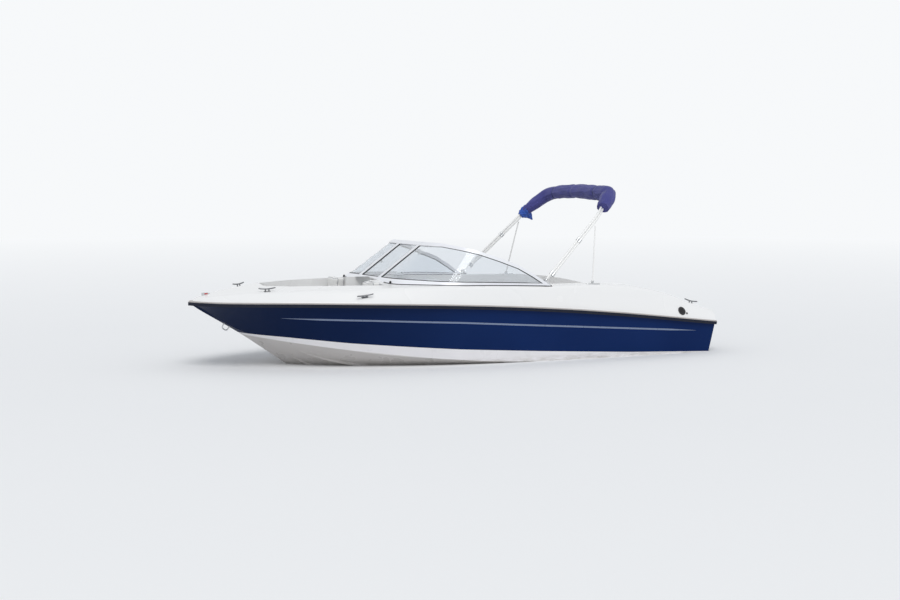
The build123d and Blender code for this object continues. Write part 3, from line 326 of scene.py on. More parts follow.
def rail_strip():
    f = Finish("rail_strip", (0.52, 0.49, 0.47), 0.4, metal=0.15)
    f.tint(f.spread(f.cloud(9, 4.0), 0.4, 0.75, 0.0, 0.5), (0.40, 0.38, 0.38))
    f.polish(f.cloud(40, 3.0, where=f.stretched((0.3, 1, 6))), 0.3, 0.5)
    f.relief(f.cloud(120, 2.0, where=f.stretched((0.2, 1, 5))), 0.0002, 0.3)
    return f.made


def anodised():
    f = Finish("satin_anodised", (0.84, 0.85, 0.88), 0.33, metal=0.15, gloss=0.5)
    drawn = f.cloud(90, 3.0, 0.6, f.stretched((0.35, 0.35, 4.0)))
    f.tint(f.spread(f.cloud(3, 3.0), 0.35, 0.75, 0.0, 0.5), (0.78, 0.79, 0.84))
    f.polish(drawn, 0.26, 0.42)
    f.relief(drawn, 0.0001, 0.4)
    return f.made


def tube_enamel():
    f = Finish("tube_enamel", (0.88, 0.875, 0.86), 0.34, coat=0.1)
    f.tint(f.spread(f.cloud(3, 3.0, 0.6), 0.45, 0.85, 0.0, 0.3), (0.74, 0.73, 0.71))
    f.polish(f.cloud(9, 2.0), 0.26, 0.34)
    f.relief(f.cloud(60, 2.0), 0.0001, 0.1)
    return f.made


def stainless():
    f = Finish("bright_stainless", (0.62, 0.63, 0.64), 0.16, metal=1.0)
    f.tint(f.spread(f.cloud(30, 3.0), 0.4, 0.8, 0.0, 0.4), (0.52, 0.53, 0.55))
    f.polish(f.cloud(70, 4.0, where=f.stretched((1, 1, 4))), 0.1, 0.26)
    f.relief(f.cloud(180, 2.0), 0.0001, 0.25)
    return f.made


def black_plastic():
    f = Finish("black_plastic", (0.018, 0.018, 0.020), 0.5, gloss=0.4)
    f.tint(f.spread(f.cloud(25, 4.0), 0.5, 0.85, 0.0, 0.35), (0.045, 0.045, 0.05))
    f.polish(f.cloud(50, 3.0), 0.4, 0.62)
    f.relief(f.cells(420), 0.0002, 0.4)
    return f.made


def seat_plastic():
    f = Finish("moulded_seat_plastic", (0.76, 0.755, 0.73), 0.45, gloss=0.4)
    f.tint(f.spread(f.cloud(5, 4.0), 0.4, 0.8, 0.0, 0.35), (0.68, 0.675, 0.66))
    f.polish(f.cloud(20, 3.0), 0.38, 0.56)
    f.relief(f.cells(380), 0.0003, 0.45)
    return f.made


def carpet():
    f = Finish("loop_carpet", (0.20, 0.215, 0.245), 0.95, gloss=0.1, sheen=0.25)
    loops = f.cells(260)
    # Painted shade: the low ground between the loops is tinted darker
    f.tint(f.spread(loops, 0.15, 0.6, 0.0, 1.0), (0.09, 0.10, 0.125))
    f.tint(f.spread(f.cloud(70, 3.0, 0.8), 0.45, 0.7, 0.0, 0.6), (0.33, 0.345, 0.37))
    f.relief(loops, -0.003, 0.9)
    f.relief(f.cloud(8, 3.0), 0.002, 0.3)
    return f.made


def drive_enamel():
    f = Finish("drive_enamel", (0.016, 0.018, 0.022), 0.3, coat=0.4, gloss=0.5)
    f.tint(f.spread(f.cloud(10, 5.0, 0.7), 0.5, 0.85, 0.0, 0.4), (0.045, 0.048, 0.055))
    f.polish(f.cloud(14, 4.0), 0.22, 0.42)
    f.relief(f.cells(300), 0.0002, 0.25)
    return f.made


def engine_enamel():
    f = Finish("engine_enamel", (0.028, 0.029, 0.032), 0.45, gloss=0.5)
    f.tint(f.spread(f.cloud(12, 5.0), 0.45, 0.8, 0.0, 0.5), (0.06, 0.06, 0.062))
    f.polish(f.cloud(18, 4.0), 0.35, 0.6)
    f.relief(f.cloud(90, 4.0), 0.0008, 0.5)
    return f.made


def propeller_finish():
    f = Finish("propeller_metal", (0.09, 0.092, 0.098), 0.3, metal=0.9)
    f.tint(f.spread(f.cloud(14, 4.0), 0.45, 0.8, 0.0, 0.7), (0.2, 0.2, 0.21))
    f.polish(f.cloud(30, 3.0), 0.2, 0.4)
    f.relief(f.cloud(120, 2.0), 0.0002, 0.3)
    return f.made


def tinted_glass():
    f = Finish("tinted_glass", (0.86, 0.895, 0.93), 0.02, gloss=0.5)
    f.shader.inputs["Transmission Weight"].default_value = 0.92
    f.shader.inputs["IOR"].default_value = 1.33
    f.tint(f.spread(f.cloud(2.2, 2.0), 0.35, 0.75, 0.0, 0.5), (0.89, 0.915, 0.945))
    f.polish(f.cloud(5, 4.0), 0.01, 0.045)
    f.relief(f.cloud(2.0, 1.0), 0.0004, 0.12)
    return f.made


def canvas(name, colour, light):
    f = Finish(name, colour, 0.9, gloss=0.15, sheen=0.2)
    warp = f.ribs(420, "X")
    weft = f.ribs(420, "Z")
    cross = f.ribs(420, "Y")
    weave = f.maths("MAXIMUM", f.maths("MULTIPLY", warp, cross), f.maths("MULTIPLY", weft, 0.8))
    f.tint(f.spread(f.cloud(5, 5.0, 0.6), 0.4, 0.75, 0.0, 0.6), light)
    # Painted shade: the hollows of the weave are tinted darker
    f.tint(f.spread(weave, 0.2, 0.9, 0.3, 0.0), tuple(c * 0.55 for c in colour))
    f.relief(weave, 0.0006, 0.5)
    f.relief(f.cloud(22, 4.0, 0.6), 0.004, 0.35)
    return f.made


def vinyl(name, colour, light, grain=240):
    f = Finish(name, colour, 0.45, gloss=0.4, sheen=0.05)
    pores = f.cells(grain, feature="DISTANCE_TO_EDGE")
    f.tint(f.spread(f.cloud(4, 4.0), 0.35, 0.75, 0.0, 0.5), light)
    # Painted shade: the pores of the grain, which the relief sinks, are tinted darker
    f.tint(f.spread(pores, 0.0, 0.12, 0.22, 0.0), tuple(c * 0.75 for c in colour))
    f.polish(f.cloud(12, 4.0), 0.36, 0.55)
    f.relief(f.spread(pores, 0.0, 0.25), 0.0005, 0.45)
    f.relief(f.cloud(16, 3.0), 0.002, 0.2)
    return f.made


def rubber():
    f = Finish("black_seal", (0.012, 0.012, 0.016), 0.55, gloss=0.3)
    f.tint(f.spread(f.cloud(20, 4.0), 0.5, 0.85, 0.0, 0.4), (0.04, 0.04, 0.05))
    f.polish(f.cloud(35, 3.0), 0.45, 0.65)
    f.relief(f.cloud(150, 2.0), 0.0002, 0.4)
    return f.made


def cast_metal():
    f = Finish("cast_metal", (0.20, 0.205, 0.215), 0.36, metal=0.8)
    f.tint(f.spread(f.cloud(30, 4.0), 0.4, 0.8, 0.0, 0.6), (0.32, 0.325, 0.335))
    f.polish(f.cloud(60, 3.0), 0.28, 0.44)
    f.relief(f.cloud(200, 3.0), 0.0002, 0.3)
    return f.made


def tread_rubber():
    f = Finish("tread_rubber", (0.16, 0.165, 0.175), 0.7, gloss=0.3)
    f.tint(f.spread(f.cloud(18, 4.0), 0.4, 0.8, 0.0, 0.5), (0.24, 0.245, 0.255))
    f.polish(f.cloud(40, 3.0), 0.6, 0.8)
    f.relief(f.cells(300), 0.0005, 0.5)
    return f.made


def stripe_film():
    f = Finish("silver_film", (0.19, 0.24, 0.36), 0.3, metal=0.3, gloss=0.3)
    f.tint(f.spread(f.cloud(20, 3.0), 0.4, 0.8, 0.0, 0.4), (0.24, 0.29, 0.42))
    f.polish(f.cloud(40, 3.0), 0.24, 0.38)
    f.relief(f.cloud(200, 2.0), 0.0001, 0.2)
    return f.made


NAVY = navy_gelcoat()
WHITE = white_gelcoat()
BOTTOM = bottom_gelcoat()
LINER = liner_gelcoat()
RAIL = rail_vinyl()
STRIP = rail_strip()
ALUMINIUM = anodised()
TUBE = tube_enamel()
STEEL = stainless()
PLASTIC = black_plastic()
SHELL = seat_plastic()
CARPET = carpet()
DRIVE = drive_enamel()
ENGINE = engine_enamel()
PROP = propeller_finish()
GLASS = tinted_glass()
CANVAS = canvas("navy_canvas", (0.068, 0.070, 0.255), (0.098, 0.102, 0.335))
SOCK = canvas("royal_canvas", (0.045, 0.11, 0.45), (0.07, 0.15, 0.55))
VINYL = vinyl("white_vinyl", (0.85, 0.845, 0.83), (0.80, 0.795, 0.785))
NAVY_VINYL = vinyl("navy_vinyl", (0.02, 0.03, 0.11), (0.03, 0.042, 0.15))
SEAL = rubber()
FILM = stripe_film()
CAST = cast_metal()
MAT_RUBBER = tread_rubber()
PIPING = vinyl("grey_piping", (0.36, 0.37, 0.40), (0.42, 0.43, 0.46), 600)

NODE_FINISH = {
    "hull_topsides": NAVY, "hull_bottom": BOTTOM, "deck": WHITE, "liner": LINER,
    "cockpit_sole": LINER, "consoles": LINER, "bow_liner": LINER,
    "mooring_cleats": CAST, "hull_eyes": STEEL,
    "deck_vents": PLASTIC, "throttle_base": PLASTIC, "throttle_lever": PLASTIC,
    "rub_rail": RAIL, "rub_rail_insert": STRIP, "cockpit_mat": CARPET,
    "engine_box": LINER, "hatch_lid": LINER, "helm_fascia": LINER, "engine_block": ENGINE,
    "hatch_hinges": STEEL, "door_hinges": STEEL, "strut_feet": STEEL,
    "bimini_eye_ends": STEEL, "bimini_deck_hinges": STEEL, "bow_light": STEEL,
    "seat_pedestals": ALUMINIUM, "companion_seat_shell": SHELL, "helm_seat_shell": SHELL,
    "helm_column": PLASTIC, "steering_wheel": PLASTIC, "instrument_panel": PLASTIC,
    "windshield_frame_port": ALUMINIUM, "windshield_frame_starboard": ALUMINIUM,
    "windshield_glass_port": GLASS, "windshield_glass_starboard": GLASS,
    "door_frame": ALUMINIUM, "door_glass": GLASS,
    "bimini_main_bow": TUBE, "bimini_second_bow": TUBE,
    "strut_port": TUBE, "strut_starboard": TUBE,
    "gimbal_housing": DRIVE, "gimbal_ring": DRIVE, "drive_upper": DRIVE, "drive_gearcase": DRIVE,
    "trim_cylinder_port": DRIVE, "trim_cylinder_starboard": DRIVE,
    "trim_rod_port": STEEL, "trim_rod_starboard": STEEL, "propeller": PROP,
}
for node, finish in NODE_FINISH.items():
    if node in solids:
        solid = solids[node]
        solid.data.materials.clear()
        solid.data.materials.append(finish)


# Camera
def set_camera():
    level = cos(VIEW_PITCH)
    look = Vector((-sin(VIEW_YAW) * level, -cos(VIEW_YAW) * level, -sin(VIEW_PITCH)))
    turn = look.to_track_quat("-Z", "Y").to_euler()
    bpy.ops.object.camera_add(location=VIEW_FROM, rotation=turn)
    camera = bpy.context.object
    camera.name = "photo_view"
    camera.data.lens = VIEW_LENS
    camera.data.sensor_width = 36
    camera.data.clip_end = 400
    bpy.context.scene.camera = camera


# Floor: a wide pale ring that stops inside the hull, so that it never shows in the bilge
def set_floor():
    rest()
    count = 2 * (len(WATER_PLANE) - 1) + 2
    bpy.ops.mesh.primitive_circle_add(vertices=count, radius=1, fill_type="NOTHING")
    floor = named("floor")
    outline = [(x, y) for x, y in WATER_PLANE] + [(x, -y) for x, y in reversed(WATER_PLANE)]
    for vertex, (x, y) in zip(floor.data.vertices, outline):
        vertex.co = (x, y, 0)
    edit(floor)
    bpy.ops.mesh.select_all(action="SELECT")
    for growth in FLOOR_RINGS:
        bpy.ops.mesh.extrude_edges_move()
        bpy.ops.transform.resize(value=growth)
    bpy.ops.mesh.select_all(action="SELECT")
    bpy.ops.mesh.normals_make_consistent(inside=False)
    bpy.ops.object.mode_set(mode="OBJECT")
    if floor.data.polygons[0].normal.z < 0:
        edit(floor)
        bpy.ops.mesh.select_all(action="SELECT")
        bpy.ops.mesh.flip_normals()
        bpy.ops.object.mode_set(mode="OBJECT")
    f = Finish("pale_floor", (0.90, 0.905, 0.91), 0.85, gloss=0.1)
    f.tint(f.spread(f.cloud(0.6, 3.0), 0.3, 0.8, 0.0, 0.25), (0.88, 0.89, 0.90))
    f.relief(f.cloud(9, 4.0), 0.002, 0.15)
    reach = f.nodes.new("ShaderNodeVectorMath")
    reach.operation = "LENGTH"
    f.links.new(f.place, reach.inputs[0])
    far = f.spread(reach.outputs["Value"], FADE_START, FADE_END)
    shine = f.nodes.new("ShaderNodeEmission")
    shine.inputs["Color"].default_value = (*BACK_TONE, 1)
    blend = f.nodes.new("ShaderNodeMixShader")
    f.links.new(far, blend.inputs["Fac"])
    f.links.new(f.shader.outputs["BSDF"], blend.inputs[1])
    f.links.new(shine.outputs["Emission"], blend.inputs[2])
    f.links.new(blend.outputs["Shader"], f.nodes["Material Output"].inputs["Surface"])
    wear(floor, f.made)
    floor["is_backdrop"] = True


def set_light():
    scene = bpy.context.scene
    scene.view_settings.view_transform = "Standard"
    world = bpy.data.worlds.new("studio")
    scene.world = world
    world.use_nodes = True
    nodes, links = world.node_tree.nodes, world.node_tree.links
    sky = nodes["Background"]
    sky.inputs["Color"].default_value = (*SKY_TONE, 1)
    sky.inputs["Strength"].default_value = SKY_LEVEL
    back = nodes.new("ShaderNodeBackground")
    back.inputs["Color"].default_value = (*BACK_TONE, 1)
    back.inputs["Strength"].default_value = 1.0
    rays = nodes.new("ShaderNodeLightPath")
    seen = nodes.new("ShaderNodeMath")
    seen.operation = "MAXIMUM"
    links.new(rays.outputs["Is Camera Ray"], seen.inputs[0])
    links.new(rays.outputs["Is Glossy Ray"], seen.inputs[1])
    shown = nodes.new("ShaderNodeMath")
    shown.operation = "MAXIMUM"
    links.new(seen.outputs["Value"], shown.inputs[0])
    links.new(rays.outputs["Is Transmission Ray"], shown.inputs[1])
    mix = nodes.new("ShaderNodeMixShader")
    links.new(shown.outputs["Value"], mix.inputs["Fac"])
    links.new(sky.outputs["Background"], mix.inputs[1])
    links.new(back.outputs["Background"], mix.inputs[2])
    links.new(mix.outputs["Shader"], nodes["World Output"].inputs["Surface"])
    bpy.ops.object.light_add(type="SUN", location=(2, 6, 9), rotation=SUN_TURN)
    sun = bpy.context.object
    sun.name = "overhead_softbox"
    sun.data.energy = SUN_LEVEL
    sun.data.angle = SUN_SPREAD


set_camera()
set_floor()
set_light()


# Trim lines that lie on a moulding
def ribbon_on(name, node, count, place, half_width, side):
    """A thin strip of film laid on a node: place(t) gives x and z, side the way to the skin."""
    rest()
    bpy.ops.mesh.primitive_grid_add(x_subdivisions=count, y_subdivisions=2, size=1)
    strip = named(name)
    skin = solids[node]
    strip.data.transform(Matrix.Translation((0.5, 0.5, 0)))
    for vertex in strip.data.vertices:
        t, across = vertex.co.x, vertex.co.y * 2 - 1
        x, z = place(t)
        z += across * half_width(t)
        hit, spot, normal, _ = skin.ray_cast(Vector((x, side * 2.0, z)), Vector((0, -side, 0)))
        vertex.co = spot + normal * FILM_LIFT if hit else Vector((x, side * 1.0, z))
    edit(strip)
    bpy.ops.mesh.select_all(action="SELECT")
    if side < 0:
        bpy.ops.mesh.flip_normals()
    bpy.ops.object.mode_set(mode="OBJECT")
    return strip


def pinstripe(side, name):
    low, high = PINSTRIPE[-1][0], PINSTRIPE[0][0]

    def place(t):
        x = high + (low - high) * t
        return x, along(PINSTRIPE, x)

    def half_width(t):
        run = (high - low) * min(t, 1 - t)
        return 0.5 * PINSTRIPE_H * min(1.0, 0.08 + run / PINSTRIPE_TAPER)

    strip = ribbon_on(name, "hull_topsides", 160, place, half_width, side)
    finished(strip, FILM, "boat")


pinstripe(1, "pinstripe_port")
pinstripe(-1, "pinstripe_starboard")


# Making by hand: round parts from stacked rings, bevelled blocks, mirrored twins and joined sets
def placed(piece, spot, facing):
    """Stands a piece on a place, with its z the way it faces."""
    turn = Vector(facing).to_track_quat("Z", "Y").to_matrix().to_4x4()
    piece.data.transform(Matrix.Translation(spot) @ turn)
    return piece


def turned(name, outline, spot=(0, 0, 0), facing=(0, 0, 1), sides=32):
    """A round part: outline is (height, radius) rows, each ring extruded from the one before."""
    rest()
    height, radius = outline[0]
    bpy.ops.mesh.primitive_circle_add(vertices=sides, radius=radius, fill_type="NGON")
    piece = named(name)
    edit(piece)
    bpy.ops.mesh.select_all(action="SELECT")
    for up, wide in outline[1:]:
        bpy.ops.mesh.extrude_region_move(TRANSFORM_OT_translate={"value": (0, 0, up - height)})
        bpy.ops.transform.resize(value=(wide / radius, wide / radius, 1))
        height, radius = up, wide
    bpy.ops.mesh.select_all(action="SELECT")
    bpy.ops.mesh.normals_make_consistent(inside=False)
    bpy.ops.object.mode_set(mode="OBJECT")
    return placed(piece, spot, facing)


def boxed(name, low, high, edge, segments=2):
    rest()
    middle = [(a + b) / 2 for a, b in zip(low, high)]
    bpy.ops.mesh.primitive_cube_add(size=1, location=middle, scale=[b - a for a, b in zip(low, high)])
    piece = named(name)
    bake_modifier(piece, "BEVEL", width=edge, segments=segments)
    return piece


def again(piece, name, shift=None, about=None):
    """A copy with its own mesh, moved, or mirrored across the centreline."""
    twin = bpy.data.objects.new(name, piece.data.copy())
    bpy.context.collection.objects.link(twin)
    if shift:
        twin.data.transform(Matrix.Translation(shift))
    if about:
        twin.data.transform(about)
    return twin


def mirrored(piece, name):
    twin = again(piece, name, about=Matrix.Scale(-1, 4, (0, 1, 0)))
    twin.data.flip_normals()
    return twin


def joined(name, pieces):
    rest()
    for piece in pieces:
        piece.select_set(True)
    bpy.context.view_layer.objects.active = pieces[0]
    bpy.ops.object.join()
    pieces[0].name = name
    pieces[0].data.name = name
    return pieces[0]


def fitted(piece, body, angle=35):
    """Rides and shades a piece whose finishes are already on it."""
    smooth(piece, angle)
    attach(piece, body)
    return piece


def copied(node, name, keep=None):
    """A copy of a CAD node with its triangles joined up, or of the part that passes the test."""
    piece = bpy.data.objects.new(name, solids[node].data.copy())
    bpy.context.collection.objects.link(piece)
    piece.data.materials.clear()
    edit(piece)
    bpy.ops.mesh.select_all(action="SELECT")
    bpy.ops.mesh.remove_doubles(threshold=0.00005)
    if keep:
        pick_faces(piece, lambda spot, normal: not keep(spot))
        bpy.ops.mesh.delete(type="FACE")
    bpy.ops.object.mode_set(mode="OBJECT")
    return piece


def cord_of(edges, name, radius, rounds=1, relax=0):
    """Turns an object of bare edges into a round cord along them."""
    take(edges)
    bpy.ops.object.convert(target="CURVE")
    cord = bpy.context.object
    if relax:
        bpy.ops.object.mode_set(mode="EDIT")
        bpy.ops.curve.select_all(action="SELECT")
        for _ in range(relax):
            bpy.ops.curve.smooth()
        bpy.ops.object.mode_set(mode="OBJECT")
    cord.data.bevel_depth = radius
    cord.data.bevel_resolution = rounds
    cord.data.use_fill_caps = True
    bpy.ops.object.convert(target="MESH")
    cord = bpy.context.object
    cord.name = name
    cord.data.name = name
    return cord


def bead_on(node, name, radius, keep):
    """A round bead along the edges of a CAD node that pass the test."""
    edges = copied(node, name)
    shape = bmesh.new()
    shape.from_mesh(edges.data)
    stay = {edge for edge in keep(shape)}
    bmesh.ops.delete(shape, geom=list(shape.faces), context="FACES_ONLY")
    bmesh.ops.delete(shape, geom=[edge for edge in shape.edges if edge not in stay], context="EDGES")
    shape.to_mesh(edges.data)
    shape.free()
    return cord_of(edges, name, radius)


def pane_edges(shape):
    """The outlines of a pane's two broad skins, without the short edges through its thickness."""
    loose = set(shape.faces)
    skins = []
    while loose:
        skin, grow = set(), [loose.pop()]
        while grow:
            face = grow.pop()
            skin.add(face)
            for edge in face.edges:
                for other in edge.link_faces:
                    if other in loose and edge.calc_face_angle(3.0) < radians(25):
                        loose.discard(other)
                        grow.append(other)
        skins.append(skin)
    skins.sort(key=lambda skin: -sum(face.calc_area() for face in skin))
    for skin in skins[:2]:
        for face in skin:
            for edge in face.edges:
                if not all(other in skin for other in edge.link_faces):
                    yield edge


# Upholstery: each pad starts as its CAD solid, is blown up as cloth, and is then sewn
PAD_SHRINK = 0.005
CLOTH_PRESSURE = 4.0
CLOTH_FRAMES = 20
SWELL_LIMIT = 0.026
DOME_REACH = 0.11
PIPING_R = 0.0034
SEAM_DEPTH = 0.006
SEAM_WIDTH = 0.006


def inflate(pad, up, voxel, crown, side):
    """Remeshes a pad, shrinks it, blows it up as cloth and holds it in a skin round its solid."""
    up = Vector(up)
    shape = bmesh.new()
    shape.from_mesh(pad.data)
    skin = BVHTree.FromBMesh(shape)
    low = Vector([min(v.co[i] for v in shape.verts) for i in range(3)])
    high = Vector([max(v.co[i] for v in shape.verts) for i in range(3)])
    shape.free()
    flat = [i for i in range(3) if abs(up[i]) < 0.5]
    bake_modifier(pad, "REMESH", mode="VOXEL", voxel_size=voxel)
    bake_modifier(pad, "DISPLACE", strength=-PAD_SHRINK, mid_level=0)
    start = [vertex.co.copy() for vertex in pad.data.vertices]
    take(pad)
    work = pad.modifiers.new("swell", "CLOTH")
    work.settings.use_pressure = True
    work.settings.uniform_pressure_force = CLOTH_PRESSURE
    work.settings.effector_weights.gravity = 0
    work.settings.quality = 4
    work.settings.mass = 0.3
    work.settings.tension_stiffness = 12
    work.settings.compression_stiffness = 12
    work.settings.bending_stiffness = 0.4
    work.collision_settings.use_collision = False
    work.point_cache.frame_start = 1
    work.point_cache.frame_end = CLOTH_FRAMES
    for number in range(1, CLOTH_FRAMES + 1):
        bpy.context.scene.frame_set(number)
    bpy.ops.object.modifier_apply(modifier=work.name)
    bpy.context.scene.frame_set(1)
    for vertex, old in zip(pad.data.vertices, start):
        move = vertex.co - old
        if move.length > SWELL_LIMIT:
            vertex.co = old + move * (SWELL_LIMIT / move.length)
        spot, normal, _, _ = skin.find_nearest(vertex.co)
        inward = min(min(spot[i] - low[i], high[i] - spot[i]) for i in flat)
        dome = sin(min(1.0, max(0.0, inward) / DOME_REACH) * pi / 2)
        room = side + (crown - side) * dome * max(0.0, normal.dot(up)) ** 2
        out = (vertex.co - spot).dot(normal)
        if out > room:
            vertex.co = spot + normal * room
    bake_modifier(pad, "SMOOTH", factor=0.5, iterations=3)


def cut_ring(piece, name, at, facing):
    """The bare edges where a plane cuts a copy of a piece."""
    ring = again(piece, name)
    edit(ring)
    bpy.ops.mesh.select_all(action="SELECT")
    bpy.ops.mesh.bisect(plane_co=at, plane_no=facing, clear_inner=True, clear_outer=True)
    bpy.ops.object.mode_set(mode="OBJECT")
    return ring


def piping(pad, name, at, facing):
    """The sewn cord where a plane cuts a pad."""
    cord = cord_of(cut_ring(pad, name, at, facing), name, PIPING_R, relax=3)
    wear(cord, PIPING)
    return cord


def channels(pad, up, across, lines):
    """Presses sewn lines into the crowned side of a pad."""
    up, across = Vector(up), Vector(across)
    facings = [max(0.0, vertex.normal.dot(up)) for vertex in pad.data.vertices]
    for vertex, facing in zip(pad.data.vertices, facings):
        near = min(abs(vertex.co.dot(across) - line) for line in lines)
        vertex.co -= up * SEAM_DEPTH * facing * exp(-((near / SEAM_WIDTH) ** 2))


def sewn(name, node, up, voxel, crown, side, seams, across, lines, keep=None):
    pad = copied(node, name, keep)
    inflate(pad, up, voxel, crown, side)
    cords = [piping(pad, f"{name}_piping_{i}", at, facing) for i, (at, facing) in enumerate(seams)]
    bake_modifier(pad, "SUBSURF", levels=1, render_levels=1)
    channels(pad, up, across, lines)
    wear(pad, VINYL)
    return joined(name, [pad, *cords])


UP = (0, 0, 1)
FORE = (1, 0, 0)
AFT = (-1, 0, 0)
ATHWART = (0, 1, 0)
LID_SLOPE = radians(5.8)
LID_UP = (-sin(LID_SLOPE), 0, cos(LID_SLOPE))

# name, CAD node, crowned side, voxel, crown, side room, piping planes, channel direction and places
BOAT_PADS = [
    ("jump_seat_pads", "jump_seat_cushions", UP, 0.009, 0.010, -0.001,
     [((0, 0, 0.345), UP), ((0, 0, 0.290), UP)], ATHWART, (0.46, 0.54, 0.62)),
    ("jump_seat_rests", "jump_seat_backs", FORE, 0.008, 0.008, -0.001,
     [((-2.186, 0, 0), FORE)], ATHWART, (0.46, 0.54, 0.62)),
    ("bow_seat_pads", "bow_seat_cushions", UP, 0.009, 0.010, -0.001,
     [((0, 0, 0.485), UP), ((0, 0, 0.430), UP)], FORE, (1.18, 1.32, 1.46)),
    ("bow_seat_rests", "bow_seat_backs", FORE, 0.008, 0.009, -0.001,
     [((1.024, 0, 0), FORE), ((0.962, 0, 0), FORE)], ATHWART, (0.365, 0.435, 0.505)),
]
for name, node, up, voxel, crown, side, seams, across, lines in BOAT_PADS:
    port = sewn(name, node, up, voxel, crown, side, seams, across, lines,
                keep=lambda spot: spot.y > 0)
    pair = joined(name, [port, mirrored(port, name + "_twin")])
    fitted(pair, "boat", 60)
    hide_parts(node)

bow_middle = sewn(
    "bow_centre_pad", "bow_centre_cushion", UP, 0.008, 0.009, -0.001,
    [((0, 0, 0.485), UP), ((0, 0, 0.430), UP)], ATHWART, (-0.13, 0.0, 0.13),
)
fitted(bow_middle, "boat", 60)
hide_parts("bow_centre_cushion")

sun_pad = sewn(
    "engine_sun_pad", "hatch_pad", LID_UP, 0.011, 0.012, -0.001,
    [((-1.49, 0, 0.627), LID_UP), ((-1.49, 0, 0.601), LID_UP)], FORE, (-1.65, -1.82, -1.99),
)
fitted(sun_pad, "hatch", 60)
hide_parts("hatch_pad")

SEAT_SPLIT_X = -0.706
SEAT_SEAMS = (0.36, 0.44, 0.52, 0.60)
seat_pan = sewn(
    "seat_pan_pad", "companion_seat_cushion", UP, 0.008, 0.012, -0.0015,
    [((0, 0, 0.384), UP)], ATHWART, SEAT_SEAMS, keep=lambda spot: spot.x > SEAT_SPLIT_X,
)
seat_rest = sewn(
    "seat_rest_pad", "companion_seat_cushion", FORE, 0.008, 0.004, -0.0015,
    [((-0.716, 0, 0), FORE)], ATHWART, SEAT_SEAMS, keep=lambda spot: spot.x < SEAT_SPLIT_X,
)
companion_pads = joined("companion_seat_pads", [seat_pan, seat_rest])
helm_pads = mirrored(companion_pads, "helm_seat_pads")
for pads, body, node in (
    (companion_pads, "companion_seat", "companion_seat_cushion"),
    (helm_pads, "helm_seat", "helm_seat_cushion"),
):
    fitted(pads, body, 60)
    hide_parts(node)


# The folded sunshade: canvas rolled round both hoops, laced into a sleeve
HOOP_HINGE = (-0.690, 0.790)
HOOP_ANGLE = radians(43.5)
HOOP_MIDDLE = 0.0135
HOOP_UP = Vector((-cos(HOOP_ANGLE), 0, sin(HOOP_ANGLE)))
HOOP_FRONT = Vector((sin(HOOP_ANGLE), 0, cos(HOOP_ANGLE)))

# Lines are distance up the hoop and distance to port, from the starboard leg to the port leg;
# girths are distance to port and radius
SLEEVE_LINE = [
    (0.940, -0.764), (1.075, -0.692), (1.215, -0.600), (1.250, -0.408), (1.262, -0.200),
    (1.272, 0.0), (1.262, 0.200), (1.253, 0.408), (1.250, 0.600), (1.135, 0.672), (1.040, 0.720),
]
SLEEVE_GIRTH = [
    (-0.765, 0.050), (-0.720, 0.062), (-0.660, 0.070), (-0.560, 0.072), (-0.450, 0.071),
    (-0.250, 0.073), (0.0, 0.076), (0.300, 0.079), (0.560, 0.084), (0.660, 0.082), (0.723, 0.064),
]
TIED_LINE = [(0.872, -0.771), (0.905, -0.768), (0.945, -0.762), (0.985, -0.744)]
TIED_GIRTH = [(-0.771, 0.042), (-0.768, 0.058), (-0.763, 0.066), (-0.758, 0.066), (-0.744, 0.058)]

# The loose tail of the tied end: where it is pulled out, how far, and how wide
TAIL_SPOT = Vector((-1.428, -0.765, 1.380))
TAIL_DROP = Vector((-0.080, 0, -0.072))
TAIL_REACH = 0.036

# Ties across the sleeve, where else it is pinched, and how the roll closes over its last rows
SLEEVE_TIES = (-0.45, 0.38)
SLEEVE_PINCHES = [(y, 0.09) for y in (*SLEEVE_TIES, -0.1, 0.62)]
TIED_PINCHES = [(-0.7665, 0.2)]
PINCH_WIDTH = 0.022
ROLL_CLOSING = (0.30, 0.72, 0.92)
ROLL_FLATNESS = 0.94
HEM_HEIGHT = 0.0035
HEM_TURN = 4.2
HEM_WIDTH = 0.35
TIE_R = 0.0035


